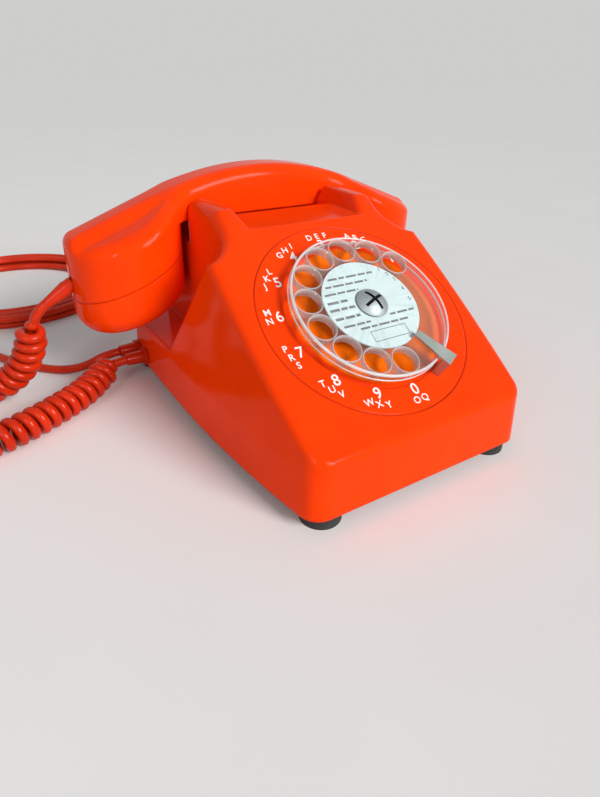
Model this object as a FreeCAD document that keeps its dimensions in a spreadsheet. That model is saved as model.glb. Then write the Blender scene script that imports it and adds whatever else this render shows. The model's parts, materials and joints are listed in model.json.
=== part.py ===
# Rotary desk telephone: a sloped housing with a finger-wheel dial, a lift-off handset and two cords.
# Millimetres. X points to the right, Y to the rear and Z up.
# The origin is on the table, under the middle of the housing.
import FreeCAD, Part
import math
import os

import Sketcher

Vector = FreeCAD.Vector
Rotation = FreeCAD.Rotation
Placement = FreeCAD.Placement

X_AXIS = Vector(1, 0, 0)
Y_AXIS = Vector(0, 1, 0)
Z_AXIS = Vector(0, 0, 1)

# Driving sizes
driving = {
    # housing
    "base_length": 195.0,
    "front_width": 125.3,
    "rear_width": 146.5,
    "side_tangent": 22.2,
    "foot_height": 7.0,
    "crease_height": 29.5,
    "skirt_draft": 1.4,
    "front_corner": 10.0,
    "rear_corner": 10.0,
    "wall": 3.0,
    "dial_tilt": 32.36,
    "face_start": 33.5,
    "shoulder_front": 94.6,
    "shoulder_rear": 115.8,
    "shoulder_setback": 9.6,
    "face_edge_radius": 5.0,
    # cradle
    "horn_rise": 10.7,
    "rear_horn_rise": 7.5,
    "ledge_rise": 3.2,
    "horn_width": 15.4,
    "horn_ramp": 4.0,
    "horn_round": 2.0,
    "trough_front": 37.5,
    "trough_depth": 8.0,
    "seat_height": 96.5,
    "seat_relief": 12.0,
    "seat_clearance": 3.0,
    "seat_margin": 8.0,
    "cup_clearance": 0.5,
    "recess_floor": 33.3,
    "recess_line": -6.0,
    "recess_line_height": 91.5,
    "recess_lean": 33.0,
    "recess_round": 20.0,
    # fits
    "press_clearance": 0.02,
    "running_clearance": 0.05,
    "slide_clearance": 0.1,
    "gap_clearance": 0.3,
    # base plate, feet and screws
    "plate_thickness": 2.0,
    "plate_clearance": 0.4,
    "foot_radius": 9.5,
    "foot_inset": 11.0,
    "boss_radius": 5.0,
    "front_boss_inset": 34.0,
    "rear_boss_y": 30.0,
    "boss_inset": 15.0,
    "screw_radius": 1.6,
    "screw_head_radius": 3.2,
    "screw_head": 1.6,
    "screw_grip": 8.0,
    # glands in the left wall
    "gland_height": 13.2,
    "handset_gland_inset": 26.0,
    "line_gland_inset": 13.0,
    "gland_radius": 3.8,
    "gland_collar": 5.2,
    "gland_collar_length": 2.5,
    "gland_length": 12.0,
    "gland_tip": 4.0,
    "gland_end": 3.5,
    # dial
    "dial_rise": 64.6,
    "ring_radius": 54.0,
    "ring_thickness": 1.5,
    "ring_clearance": 0.3,
    "dish_radius": 40.0,
    "dish_depth": 1.0,
    "dish_bevel": 1.2,
    "opening_clearance": 1.0,
    "wheel_radius": 39.7,
    "wheel_thickness": 4.0,
    "wheel_gap": 5.3,
    "wheel_bevel": 1.0,
    "hole_diameter": 12.2,
    "hole_circle": 32.0,
    "hole_pitch": 25.714,
    "first_hole": 37.34,
    "hole_bevel": 0.4,
    "card_radius": 24.6,
    "card_thickness": 0.4,
    "cover_thickness": 0.8,
    "centre_cap_radius": 8.0,
    "centre_cap_height": 3.2,
    "cap_slot": 1.4,
    "cap_slot_depth": 1.4,
    "shaft_radius": 4.0,
    "bush_radius": 7.0,
    "stop_angle": -62.0,
    "stop_tip": 24.5,
    "stop_foot_inner": 41.4,
    "stop_foot_outer": 45.2,
    "stop_clearance": 1.0,
    "stop_thickness": 1.5,
    "stop_width": 7.5,
    "stop_tip_width": 3.6,
    "frame_radius": 40.0,
    "frame_thickness": 2.0,
    "frame_depth": 10.0,
    "pillar_radius": 3.0,
    "pillar_circle": 34.0,
    "gear_module": 0.86,
    "gear_thickness": 2.5,
    "gear_drop": 2.0,
    "back_drop": 12.0,
    "drum_radius": 12.0,
    "drum_wall": 1.5,
    "drum_height": 6.0,
    "spindle_radius": 1.5,
    "governor_cup_radius": 11.5,
    "governor_cup_wall": 1.0,
    "governor_cup_height": 6.0,
    "weight_radius": 2.5,
    "contact_block": 9.0,
    # hook switch
    "plunger_radius": 3.5,
    "plunger_inset": 11.0,
    "plunger_flange": 5.5,
    "plunger_flange_height": 1.5,
    "plunger_travel": 4.5,
    "lever_thickness": 2.0,
    "lever_reach": 24.0,
    "lever_margin": 5.0,
    "hook_pivot_y": 46.0,
    "hook_pin_radius": 1.5,
    "hook_ear": 2.5,
    "hook_plate": 2.0,
    "spring_stack_width": 12.0,
    "spring_stack_depth": 4.0,
    "spring_stack_drop": 22.0,
    # ringer
    "gong_radius": 25.0,
    "gong_height": 14.0,
    "gong_wall": 1.8,
    "gong_spacing": 62.0,
    "gong_room": 7.5,
    "gong_lift": 7.0,
    "gong_post_radius": 3.0,
    "clapper_arm": 28.0,
    "clapper_ball": 4.0,
    "clapper_width": 2.4,
    "clapper_hub": 3.0,
    "ringer_plate": 2.0,
    "ringer_width": 44.0,
    "ringer_length": 46.0,
    "coil_radius": 7.5,
    "coil_length": 28.0,
    "coil_spacing": 22.0,
    "yoke_thickness": 3.0,
    # circuit board
    "board_gap": 2.7,
    "board_setback": 30.5,
    "board_thickness": 1.6,
    "board_room": 15.0,
    "board_lift": 3.0,
    "board_post_radius": 3.0,
    "board_post_inset": 5.0,
    "transformer_side": 20.0,
    "transformer_height": 14.0,
    "capacitor_radius": 4.0,
    "capacitor_length": 20.0,
    "terminal_width": 14.0,
    "terminal_length": 34.0,
    "terminal_height": 12.0,
    # handset
    "handset_length": 218.6,
    "cup_diameter": 60.4,
    "handle_depth": 25.0,
    "handle_rise": 23.5,
    "handle_y": 64.5,
    "handle_blend": 26.0,
    "handle_edge": 7.0,
    "arch_drop": 39.79,
    "arch_half": 60.0,
    "seam_tilt": 21.0,
    "seam_height": 70.5,
    "seam_gap": 0.3,
    "cap_depth": 23.0,
    "cap_round": 12.0,
    "cup_wall": 3.0,
    "cup_depth": 14.0,
    "carrier_thickness": 3.0,
    "capsule_radius": 22.0,
    "capsule_thickness": 10.0,
    "sound_hole": 1.4,
    "sound_circle": 8.0,
    "relief_droop": 31.0,
    "relief_height": 67.0,
    "relief_radius": 3.6,
    "relief_collar": 4.0,
    "relief_length": 16.0,
    "relief_grip": 1.2,
    "relief_end": 2.6,
    # cords
    "curl_wire": 4.2,
    "curl_diameter": 15.6,
    "curl_pitch": 6.3,
    "line_wire": 5.0,
    "coil_outer": 156.0,
    "coil_step": 7.2,
    "coil_climb": 5.6,
    "plug_lead": 52.0,
    # plug
    "plug_length": 38.0,
    "plug_width": 24.0,
    "plug_height": 16.0,
    "plug_edge": 3.0,
    "pin_radius": 1.6,
    "pin_length": 14.0,
    "pin_spacing": 11.0,
}

# Counts
finger_holes = 10
gear_teeth = 48
pinion_teeth = 12
pillars = 3
sound_holes = 6
coil_turns = 5


# A size knows its number and the spreadsheet expression that gives it.
class Size:
    def __init__(self, value, text):
        self.value = float(value)
        self.text = text

    def __float__(self):
        return self.value

    def __add__(self, other):
        other = as_size(other)
        return Size(self.value + other.value, f"({self.text} + {other.text})")

    def __sub__(self, other):
        other = as_size(other)
        return Size(self.value - other.value, f"({self.text} - {other.text})")

    def __mul__(self, other):
        other = as_size(other)
        return Size(self.value * other.value, f"({self.text} * {other.text})")

    def __truediv__(self, other):
        other = as_size(other)
        return Size(self.value / other.value, f"({self.text} / {other.text})")

    def __neg__(self):
        return Size(-self.value, f"(0 - {self.text})")

    def __radd__(self, other):
        return as_size(other) + self

    def __rsub__(self, other):
        return as_size(other) - self

    def __rmul__(self, other):
        return as_size(other) * self


def as_size(number):
    return number if isinstance(number, Size) else Size(number, repr(float(number)))


def sine(angle):
    return Size(math.sin(math.radians(angle.value)), f"sin({angle.text})")


def cosine(angle):
    return Size(math.cos(math.radians(angle.value)), f"cos({angle.text})")


def tangent(angle):
    return Size(math.tan(math.radians(angle.value)), f"tan({angle.text})")


class Sheet:
    def __init__(self, cells, sizes):
        for row, (name, value) in enumerate(sizes.items(), start=1):
            cells.set(f"A{row}", name.replace("_", " "))
            cells.set(f"B{row}", str(value))
            cells.setAlias(f"B{row}", name)
            setattr(self, name, Size(value, f"sizes.{name}"))


doc = FreeCAD.newDocument("rotary_telephone")
cells = doc.addObject("Spreadsheet::Sheet", "sizes")
d = Sheet(cells, driving)
doc.recompute()

nodes = []


# Helpers that make a piece and bind it to the sheet
def keep(item, label):
    item.Label = label
    nodes.append(item)
    return item


def bind(item, **sizes):
    for name, size in sizes.items():
        item.setExpression(name, as_size(size).text)


def place(item, x=0, y=0, z=0, turn=None):
    position = [as_size(size) for size in (x, y, z)]
    item.Placement = Placement(Vector(*[p.value for p in position]), turn or Rotation())
    for axis, size in zip("xyz", position):
        item.setExpression(f"Placement.Base.{axis}", size.text)
    return item


def solid_node(label, shape):
    item = doc.addObject("Part::Feature", label)
    item.Shape = shape
    item.Placement = Placement()
    return keep(item, label)


def box(label, width, length, height):
    """Box with a corner on its own origin."""
    item = doc.addObject("Part::Box", label)
    bind(item, Length=width, Width=length, Height=height)
    return item


def box_at(label, width, length, height, x, y, z):
    """Box standing on z, centred on x and y."""
    item = box(label, width, length, height)
    return place(item, as_size(x) - as_size(width) / 2, as_size(y) - as_size(length) / 2, z)


def rod(label, radius, height):
    item = doc.addObject("Part::Cylinder", label)
    bind(item, Radius=radius, Height=height)
    return item


def group(label, items):
    item = doc.addObject("Part::Compound", label)
    item.Links = items
    return keep(item, label)


def new_body(label):
    item = doc.addObject("PartDesign::Body", label)
    item.Label = label
    return item


def sketch_on(body, role, name):
    plane = next(f for f in body.Origin.OriginFeatures if f.Role == role)
    sketch = body.newObject("Sketcher::SketchObject", name)
    sketch.AttachmentSupport = [(plane, "")]
    sketch.MapMode = "FlatFace"
    return sketch


def pin(sketch, kind, geometry, place_on, size):
    size = as_size(size)
    index = sketch.addConstraint(Sketcher.Constraint(kind, -1, 1, geometry, place_on, size.value))
    sketch.setExpression(f"Constraints[{index}]", size.text)


def outline(sketch, points):
    """Closed outline whose corners are pinned to sheet sizes."""
    corners = [(as_size(x), as_size(y)) for x, y in points]
    count = len(corners)
    first = sketch.GeometryCount
    for i, (x, y) in enumerate(corners):
        end = corners[(i + 1) % count]
        sketch.addGeometry(
            Part.LineSegment(Vector(x.value, y.value, 0), Vector(end[0].value, end[1].value, 0))
        )
    for i in range(count):
        follow = first + (i + 1) % count
        sketch.addConstraint(Sketcher.Constraint("Coincident", first + i, 2, follow, 1))
    for i, (x, y) in enumerate(corners):
        pin(sketch, "DistanceX", first + i, 1, x)
        pin(sketch, "DistanceY", first + i, 1, y)


def circle(sketch, radius, x=0, y=0):
    radius, x, y = as_size(radius), as_size(x), as_size(y)
    index = sketch.addGeometry(Part.Circle(Vector(x.value, y.value, 0), Z_AXIS, radius.value))
    number = sketch.addConstraint(Sketcher.Constraint("Radius", index, radius.value))
    sketch.setExpression(f"Constraints[{number}]", radius.text)
    pin(sketch, "DistanceX", index, 3, x)
    pin(sketch, "DistanceY", index, 3, y)


def turned(label, points):
    """Body turned about its own Z axis from an outline of (radius, height)."""
    body = new_body(label)
    sketch = sketch_on(body, "XZ_Plane", f"{label}_outline")
    outline(sketch, points)
    turn = body.newObject("PartDesign::Revolution", f"{label}_turn")
    turn.Profile = sketch
    turn.ReferenceAxis = (sketch, ["V_Axis"])
    turn.Angle = 360
    body.Tip = turn
    return body


def padded(label, role, draw, height, both_ways=False):
    """Body padded from a sketch on one of its own planes."""
    body = new_body(label)
    sketch = sketch_on(body, role, f"{label}_outline")
    draw(sketch)
    pad = body.newObject("PartDesign::Pad", f"{label}_pad")
    pad.Profile = sketch
    pad.Midplane = both_ways
    bind(pad, Length=height)
    body.Tip = pad
    return body


def pocketed(body, role, draw, name):
    """Cut a sketch right through the body, both ways."""
    sketch = sketch_on(body, role, f"{name}_outline")
    draw(sketch)
    pocket = body.newObject("PartDesign::Pocket", name)
    pocket.Profile = sketch
    pocket.Type = "ThroughAll"
    pocket.Midplane = True
    body.Tip = pocket
    return pocket


def arc(start, middle, end):
    return Part.Arc(start, middle, end).toShape()


def line(start, end):
    return Part.LineSegment(start, end).toShape()


def prism(points, direction):
    return Part.Face(Part.makePolygon(points + points[:1])).extrude(direction)


def block(x0, x1, y0, y1, z0, z1):
    return Part.makeBox(x1 - x0, y1 - y0, z1 - z0, Vector(x0, y0, z0))


# Lines and heights that several pieces share
reach = float(d.base_length) * 2
y_front = -d.base_length / 2
y_rear = d.base_length / 2
floor = d.foot_height + d.plate_thickness
seat_front = float(d.handle_y - d.handle_depth / 2 - d.seat_clearance)
seat_rear = float(d.handle_y + d.handle_depth / 2 + d.seat_clearance)
trough_floor = d.seat_height - d.trough_depth
horn_height = d.seat_height + d.horn_rise
rear_horn_height = d.seat_height + d.rear_horn_rise
ledge_height = d.seat_height + d.ledge_rise
arch_radius = (d.handset_length * d.handset_length / 4 + d.arch_drop * d.arch_drop) / (d.arch_drop * 2)
handset_gland_y = y_rear - d.handset_gland_inset
line_gland_y = y_rear - d.line_gland_inset
dial_y = y_front + d.dial_rise * cosine(d.dial_tilt)
dial_z = d.face_start + d.dial_rise * sine(d.dial_tilt)
dial_turn = Rotation(X_AXIS, float(d.dial_tilt))
neck_width = d.handset_length - d.cup_diameter * 2 - d.cup_clearance * 2
seat_width = neck_width - d.seat_margin * 2
horn_gap = neck_width - d.horn_width * 2
plunger_spacing = horn_gap - d.plunger_inset * 2
front_boss_x = d.front_width / 2 - d.boss_inset
rear_boss_x = d.rear_width / 2 - d.boss_inset
boss_places = [
    (side * x, y)
    for side in (-1, 1)
    for x, y in ((front_boss_x, y_front + d.front_boss_inset), (rear_boss_x, d.rear_boss_y))
]


def on_dial(item, x=0, y=0, z=0, spin=0):
    """Seat a piece in the dial's own frame: X to the right, Y up the slope, Z out of the face."""
    x, y, z = as_size(x), as_size(y), as_size(z)
    turn = dial_turn.multiply(Rotation(Z_AXIS, float(spin)))
    return place(
        item,
        x,
        dial_y + y * cosine(d.dial_tilt) - z * sine(d.dial_tilt),
        dial_z + y * sine(d.dial_tilt) + z * cosine(d.dial_tilt),
        turn,
    )


# Housing shell
def plan_wire(height, front_half, rear_half, front, rear, front_round, rear_round):
    """Closed plan outline: straight front and rear, sides that widen along one long arc."""
    join = float(d.side_tangent)
    spread = rear_half - front_half
    side = ((join - front) ** 2 + spread ** 2) / (2 * spread)
    centre = Vector(rear_half - side, join, height)
    run = math.sqrt((side - front_round) ** 2 - (join - front - front_round) ** 2)
    corner = Vector(centre.x + run, front + front_round, height)
    outward = (corner - centre).normalize()
    on_side = centre + outward * side
    on_front = Vector(corner.x, front, height)
    corner_middle = corner + (outward - Y_AXIS).normalize() * front_round
    side_end = Vector(rear_half, join, height)
    side_middle = centre + (outward + X_AXIS).normalize() * side
    rear_start = Vector(rear_half, rear - rear_round, height)
    rear_centre = Vector(rear_half - rear_round, rear - rear_round, height)
    rear_middle = rear_centre + Vector(1, 1, 0).normalize() * rear_round
    rear_end = Vector(rear_half - rear_round, rear, height)

    def left(point):
        return Vector(-point.x, point.y, point.z)

    return Part.Wire([
        line(left(on_front), on_front),
        arc(on_front, corner_middle, on_side),
        arc(on_side, side_middle, side_end),
        line(side_end, rear_start),
        arc(rear_start, rear_middle, rear_end),
        line(rear_end, left(rear_end)),
        arc(left(rear_end), left(rear_middle), left(rear_start)),
        line(left(rear_start), left(side_end)),
        arc(left(side_end), left(side_middle), left(on_side)),
        arc(left(on_side), left(corner_middle), left(on_front)),
    ])


def base_wire(height, inset):
    """Outline of the skirt's lower edge, moved inward by the inset."""
    return plan_wire(
        height,
        float(d.front_width) / 2 - inset,
        float(d.rear_width) / 2 - inset,
        float(y_front) + inset,
        float(y_rear) - inset,
        float(d.front_corner) - inset,
        float(d.rear_corner) - inset,
    )


def face_height(y, inset=0.0):
    """Height of the sloped dial face above a place y, moved inward by the inset."""
    return (
        float(d.face_start)
        + (y - float(y_front)) * float(tangent(d.dial_tilt))
        - inset / float(cosine(d.dial_tilt))
    )


def face_place(z, inset):
    rise = z - float(d.face_start) + inset / float(cosine(d.dial_tilt))
    return float(y_front) + rise / float(tangent(d.dial_tilt))


def side_profile(inset):
    """Side view of the housing: dial slope, front horn, handle seat and rear horn."""
    front = -reach
    horn = float(horn_height) - inset
    rear_horn = float(rear_horn_height) - inset
    seat = float(d.seat_height) - inset
    return [
        (front, face_height(front, inset)),
        (face_place(horn, inset), horn),
        (seat_front - inset, horn),
        (seat_front - inset, seat),
        (seat_rear + inset, seat),
        (seat_rear + inset, rear_horn),
        (reach, rear_horn),
        (reach, face_height(front, inset)),
    ]


def recess(side, inset):
    """Room beside the neck for a handset cup, behind a leaning edge and above the skirt."""
    lean = math.tan(math.radians(float(d.recess_lean)))
    shift = inset / math.cos(math.radians(float(d.recess_lean)))
    bottom = float(d.recess_floor) - inset
    inner = float(neck_width) / 2 - inset

    def edge(z):
        return float(d.recess_line) - shift + (float(d.recess_line_height) - z) * lean

    corners = [(edge(bottom), bottom), (edge(reach), reach), (reach, reach), (reach, bottom)]
    tool = prism([Vector(side * inner, y, z) for y, z in corners], Vector(side * reach, 0, 0))
    scoop = []
    for candidate in tool.Edges:
        ends = [v.Point for v in candidate.Vertexes]
        if all(abs(p.x - side * inner) < 1e-6 and p.y < edge(bottom) + 1e-6 for p in ends):
            scoop.append(candidate)
    return tool.makeFillet(float(d.recess_round) + inset, scoop)


def housing(inset):
    """Solid housing, or the hollow inside it when the inset is the wall."""
    draft = float(d.skirt_draft)
    crown = float(horn_height) * 1.1
    front_round = float(d.front_corner) - inset
    rear_round = float(d.rear_corner) - inset
    low = base_wire(float(d.foot_height), inset)
    middle = plan_wire(
        float(d.crease_height),
        float(d.front_width) / 2 - inset - draft,
        float(d.rear_width) / 2 - inset - draft,
        float(y_front) + inset + draft,
        float(y_rear) - inset - draft,
        front_round,
        rear_round,
    )
    high = plan_wire(
        crown,
        float(d.shoulder_front) / 2 - inset,
        float(d.shoulder_rear) / 2 - inset,
        float(y_front) + inset + draft,
        float(y_rear - d.shoulder_setback) - inset,
        front_round,
        rear_round,
    )
    skirt = Part.makeLoft([low, middle], True, True)
    upper = Part.makeLoft([middle, high], True, True)
    body = skirt.fuse(upper).removeSplitter()
    side_view = [Vector(-reach, y, z) for y, z in side_profile(inset)]
    body = body.common(prism(side_view, Vector(2 * reach, 0, 0)))
    for side in (-1, 1):
        body = body.cut(recess(side, inset))

    gap = float(horn_gap) / 2 + inset
    ledge = float(ledge_height) - inset
    flare = float(d.horn_ramp) * (crown - ledge) / float(horn_height - ledge_height)
    between = [(-gap, ledge), (gap, ledge), (gap + flare, crown), (-gap - flare, crown)]
    body = body.cut(prism([Vector(x, -reach, z) for x, z in between], Vector(0, 2 * reach, 0)))

    seat_start = seat_front - inset
    seat_end = seat_rear + inset
    low = float(trough_floor) - inset
    body = body.cut(block(-gap, gap, float(d.trough_front) - inset, seat_end, low, reach))
    seat_half = float(seat_width) / 2 - inset
    relief = float(d.seat_height - d.seat_relief) - inset
    for start, end in ((-reach, -seat_half), (seat_half, reach)):
        body = body.cut(block(start, end, seat_start, seat_end, relief, reach))
    return body


def soft_face_edge(body):
    """Round the edge between the dial face and the front and side walls."""
    tilt = math.radians(float(d.dial_tilt))
    outward = Vector(0, -math.sin(tilt), math.cos(tilt))

    def on_face(edge):
        return all(abs(v.Z - face_height(v.Y)) < 1e-4 for v in edge.Vertexes)

    def wall_normal(edge):
        middle = edge.valueAt((edge.FirstParameter + edge.LastParameter) / 2)
        for face in body.ancestorsOfType(edge, Part.Face):
            normal = face.normalAt(*face.Surface.parameter(middle))
            if normal.getAngle(outward) > 0.05:
                return normal
        return outward

    rim = []
    for edge in filter(on_face, body.Edges):
        normal = wall_normal(edge)
        if normal.z < 0.5 and normal.y < 0.1:
            rim.append(edge)
    return body.makeFillet(float(d.face_edge_radius), rim)


def soft_horns(body):
    """Round the upper rims of the four cradle horns."""
    tops = (float(horn_height), float(rear_horn_height))

    def on_top(edge):
        return any(all(abs(v.Z - top) < 1e-4 for v in edge.Vertexes) for top in tops)

    return body.makeFillet(float(d.horn_round), [e for e in body.Edges if on_top(e)])


def drilled(shape, radius, length, position, direction=Z_AXIS):
    return shape.cut(Part.makeCylinder(float(radius), float(length), position, direction))


def make_shell():
    body = soft_horns(soft_face_edge(housing(0.0)))
    shell = body.cut(housing(float(d.wall)))
    for x, y in boss_places:
        foot = Vector(float(x), float(y), float(floor))
        boss = Part.makeCylinder(float(d.boss_radius), reach, foot)
        shell = shell.fuse(boss.common(body))
        shell = drilled(shell, d.screw_radius + d.press_clearance, d.screw_grip, foot)
    centre = Vector(0, float(dial_y), float(dial_z))
    outward = dial_turn.multVec(Z_AXIS)
    opening = d.dish_radius + d.dish_bevel + d.opening_clearance
    shell = drilled(shell, opening, reach, centre - outward * float(d.wall * 2), outward)
    seat = d.ring_radius + d.ring_clearance
    shell = drilled(shell, seat, reach, centre - outward * float(d.ring_thickness), outward)
    for side in (-1, 1):
        under_shelf = float(trough_floor - d.wall * 2)
        below = Vector(side * float(plunger_spacing / 2), float(d.handle_y), under_shelf)
        shell = drilled(shell, d.plunger_radius + d.slide_clearance, d.wall * 3, below)
    for y in (handset_gland_y, line_gland_y):
        outside = Vector(float(-d.rear_width / 2 - d.wall), float(y), float(d.gland_height))
        shell = drilled(shell, d.gland_radius + d.slide_clearance, d.wall * 4, outside, X_AXIS)
    solid_node("shell", shell.removeSplitter())


# Base plate, feet and screws
def make_base():
    inset = float(d.wall + d.plate_clearance)
    plate = Part.Face(base_wire(float(d.foot_height), inset)).extrude(Vector(0, 0, float(d.plate_thickness)))
    for x, y in boss_places:
        foot = Vector(float(x), float(y), float(d.foot_height))
        plate = drilled(plate, d.screw_radius + d.slide_clearance, d.plate_thickness, foot)
    solid_node("base_plate", plate)

    feet = []
    front_x = d.front_width / 2 - d.foot_inset
    rear_x = d.rear_width / 2 - d.foot_inset
    spots = ((front_x, y_front + d.foot_inset), (rear_x, y_rear - d.foot_inset))
    for side in (-1, 1):
        for x, y in spots:
            foot = rod(f"foot_{len(feet) + 1}", d.foot_radius, d.foot_height)
            feet.append(place(foot, side * x, y, 0))
    group("rubber_feet", feet)

    screws = []
    for x, y in boss_places:
        screw = turned(f"base_screw_{len(screws) + 1}", [
            (0, -d.screw_head),
            (d.screw_head_radius, -d.screw_head),
            (d.screw_head_radius, 0),
            (d.screw_radius, 0),
            (d.screw_radius, d.plate_thickness + d.screw_grip - d.gap_clearance),
            (0, d.plate_thickness + d.screw_grip - d.gap_clearance),
        ])
        screws.append(place(screw, x, y, d.foot_height))
    group("base_screws", screws)


# Glands where the cords come out of the left wall
def make_gland(label, y):
    gland = turned(label, [
        (0, -d.wall * 2),
        (d.gland_radius, -d.wall * 2),
        (d.gland_radius, 0),
        (d.gland_collar, 0),
        (d.gland_collar, d.gland_collar_length),
        (d.gland_tip, d.gland_collar_length),
        (d.gland_end, d.gland_length),
        (0, d.gland_length),
    ])
    place(gland, -d.rear_width / 2, y, d.gland_height, Rotation(Y_AXIS, -90))
    return keep(gland, label)


# Dial: fixed pieces
wheel_under = d.wheel_gap - d.dish_depth
wheel_top = wheel_under + d.wheel_thickness
card_under = wheel_top - d.card_thickness - d.cover_thickness
frame_under = -d.frame_depth - d.frame_thickness
gear_top = frame_under - d.gear_drop
gear_under = gear_top - d.gear_thickness
back_top = frame_under - d.back_drop
axle_distance = d.gear_module * ((gear_teeth + pinion_teeth) / 2)
stop_top = wheel_top + d.stop_clearance + d.stop_thickness


def make_dial_plates():
    hub = d.bush_radius + d.gap_clearance
    ring = turned("number_ring", [
        (hub, -d.dish_depth - d.ring_thickness),
        (d.dish_radius, -d.dish_depth - d.ring_thickness),
        (d.dish_radius + d.dish_bevel, -d.ring_thickness),
        (d.ring_radius, -d.ring_thickness),
        (d.ring_radius, 0),
        (d.dish_radius + d.dish_bevel, 0),
        (d.dish_radius, -d.dish_depth),
        (hub, -d.dish_depth),
    ])
    keep(on_dial(ring), "number_ring")

    def plate(label, under, middle_hole, thickness):
        body = padded(label, "XY_Plane", lambda s: circle(s, d.frame_radius), thickness)

        def holes(sketch):
            circle(sketch, middle_hole)
            circle(sketch, d.spindle_radius + d.running_clearance, axle_distance, 0)

        pocketed(body, "XY_Plane", holes, f"{label}_holes")
        keep(on_dial(body, z=under), label)

    plate("dial_frame", frame_under, d.bush_radius + d.press_clearance, d.frame_thickness)
    plate("dial_back_plate", back_top - d.frame_thickness, d.shaft_radius + d.running_clearance,
          d.frame_thickness)

    bush = turned("dial_bush", [
        (d.shaft_radius + d.running_clearance, frame_under),
        (d.bush_radius, frame_under),
        (d.bush_radius, -d.dish_depth - d.gap_clearance),
        (d.shaft_radius + d.running_clearance, -d.dish_depth - d.gap_clearance),
    ])
    keep(on_dial(bush), "dial_bush")

    plate_under = -d.dish_depth - d.ring_thickness
    front_posts = []
    back_posts = []
    for i in range(pillars):
        turn = 360.0 / pillars * i + 30.0
        across, up = math.cos(math.radians(turn)), math.sin(math.radians(turn))
        post = rod(f"front_post_{i + 1}", d.pillar_radius, plate_under + d.frame_depth)
        front_posts.append(on_dial(post, d.pillar_circle * across, d.pillar_circle * up, -d.frame_depth))
        turn = 360.0 / pillars * i + 90.0
        across, up = math.cos(math.radians(turn)), math.sin(math.radians(turn))
        post = rod(f"back_post_{i + 1}", d.pillar_radius, d.back_drop)
        back_posts.append(on_dial(post, d.pillar_circle * across, d.pillar_circle * up, back_top))
    group("dial_front_pillars", front_posts)
    group("dial_back_pillars", back_posts)

    drum = turned("spring_drum", [
        (d.shaft_radius * 1.5, 0),
        (d.drum_radius, 0),
        (d.drum_radius, d.drum_height),
        (d.drum_radius - d.drum_wall, d.drum_height),
        (d.drum_radius - d.drum_wall, d.drum_wall),
        (d.shaft_radius * 1.5, d.drum_wall),
    ])
    keep(on_dial(drum, z=back_top), "spring_drum")

    cup = turned("governor_cup", [
        (d.spindle_radius * 2, 0),
        (d.governor_cup_radius, 0),
        (d.governor_cup_radius, d.governor_cup_height),
        (d.governor_cup_radius - d.governor_cup_wall, d.governor_cup_height),
        (d.governor_cup_radius - d.governor_cup_wall, d.governor_cup_wall),
        (d.spindle_radius * 2, d.governor_cup_wall),
    ])
    keep(on_dial(cup, axle_distance, 0, back_top), "governor_cup")

    contacts = box("pulse_contacts", d.contact_block / 2, d.contact_block, d.contact_block)
    clear = (d.frame_radius + d.gear_module * (gear_teeth / 2)) / 2
    on_dial(contacts, -clear - d.contact_block / 2, -d.contact_block / 2, frame_under - d.contact_block)
    keep(contacts, "pulse_contacts")


def make_finger_stop():
    """Tapered metal tongue on a foot that stands on the number ring and reaches over the wheel."""
    half = d.stop_width / 2
    tip = d.stop_tip_width / 2
    body = padded("finger_stop", "XY_Plane", lambda s: outline(s, [
        (d.stop_tip, -tip),
        (d.stop_foot_outer, -half),
        (d.stop_foot_outer, half),
        (d.stop_tip, tip),
    ]), stop_top)
    pocketed(body, "XZ_Plane", lambda s: outline(s, [
        (d.stop_tip - d.stop_width, -d.stop_width),
        (d.stop_foot_inner, -d.stop_width),
        (d.stop_foot_inner, stop_top - d.stop_thickness),
        (d.stop_tip - d.stop_width, stop_top - d.stop_thickness),
    ]), "finger_stop_room")
    keep(on_dial(body, spin=d.stop_angle), "finger_stop")


# Dial: pieces that turn with the finger wheel
def make_finger_wheel():
    recess_radius = d.card_radius + d.gap_clearance
    hub = d.shaft_radius + d.press_clearance
    wheel = turned("finger_wheel", [
        (hub, wheel_under),
        (d.wheel_radius, wheel_under),
        (d.wheel_radius, wheel_top - d.wheel_bevel),
        (d.wheel_radius - d.wheel_bevel, wheel_top),
        (recess_radius, wheel_top),
        (recess_radius, card_under),
        (hub, card_under),
    ])
    across = d.hole_circle * cosine(d.first_hole)
    up = d.hole_circle * sine(d.first_hole)
    hole = pocketed(wheel, "XY_Plane", lambda s: circle(s, d.hole_diameter / 2, across, up), "finger_hole")
    ring = wheel.newObject("PartDesign::PolarPattern", "finger_holes")
    ring.Originals = [hole]
    ring.Axis = (next(f for f in wheel.Origin.OriginFeatures if f.Role == "Z_Axis"), [""])
    ring.Occurrences = finger_holes
    bind(ring, Angle=d.hole_pitch * (finger_holes - 1))
    wheel.Tip = ring
    doc.recompute()
    rims = []
    for number, edge in enumerate(ring.Shape.Edges, start=1):
        at_top = abs(edge.BoundBox.ZMin - wheel_top.value) < 1e-4
        flat = edge.BoundBox.ZLength < 1e-4
        round_hole = flat and abs(edge.BoundBox.XLength - d.hole_diameter.value) < 0.05
        if at_top and round_hole:
            rims.append(f"Edge{number}")
    bevel = wheel.newObject("PartDesign::Chamfer", "finger_hole_bevel")
    bevel.Base = (ring, rims)
    bind(bevel, Size=d.hole_bevel)
    wheel.Tip = bevel
    print(f"finger holes bevelled: {len(rims)}")
    keep(on_dial(wheel), "finger_wheel")


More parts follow.
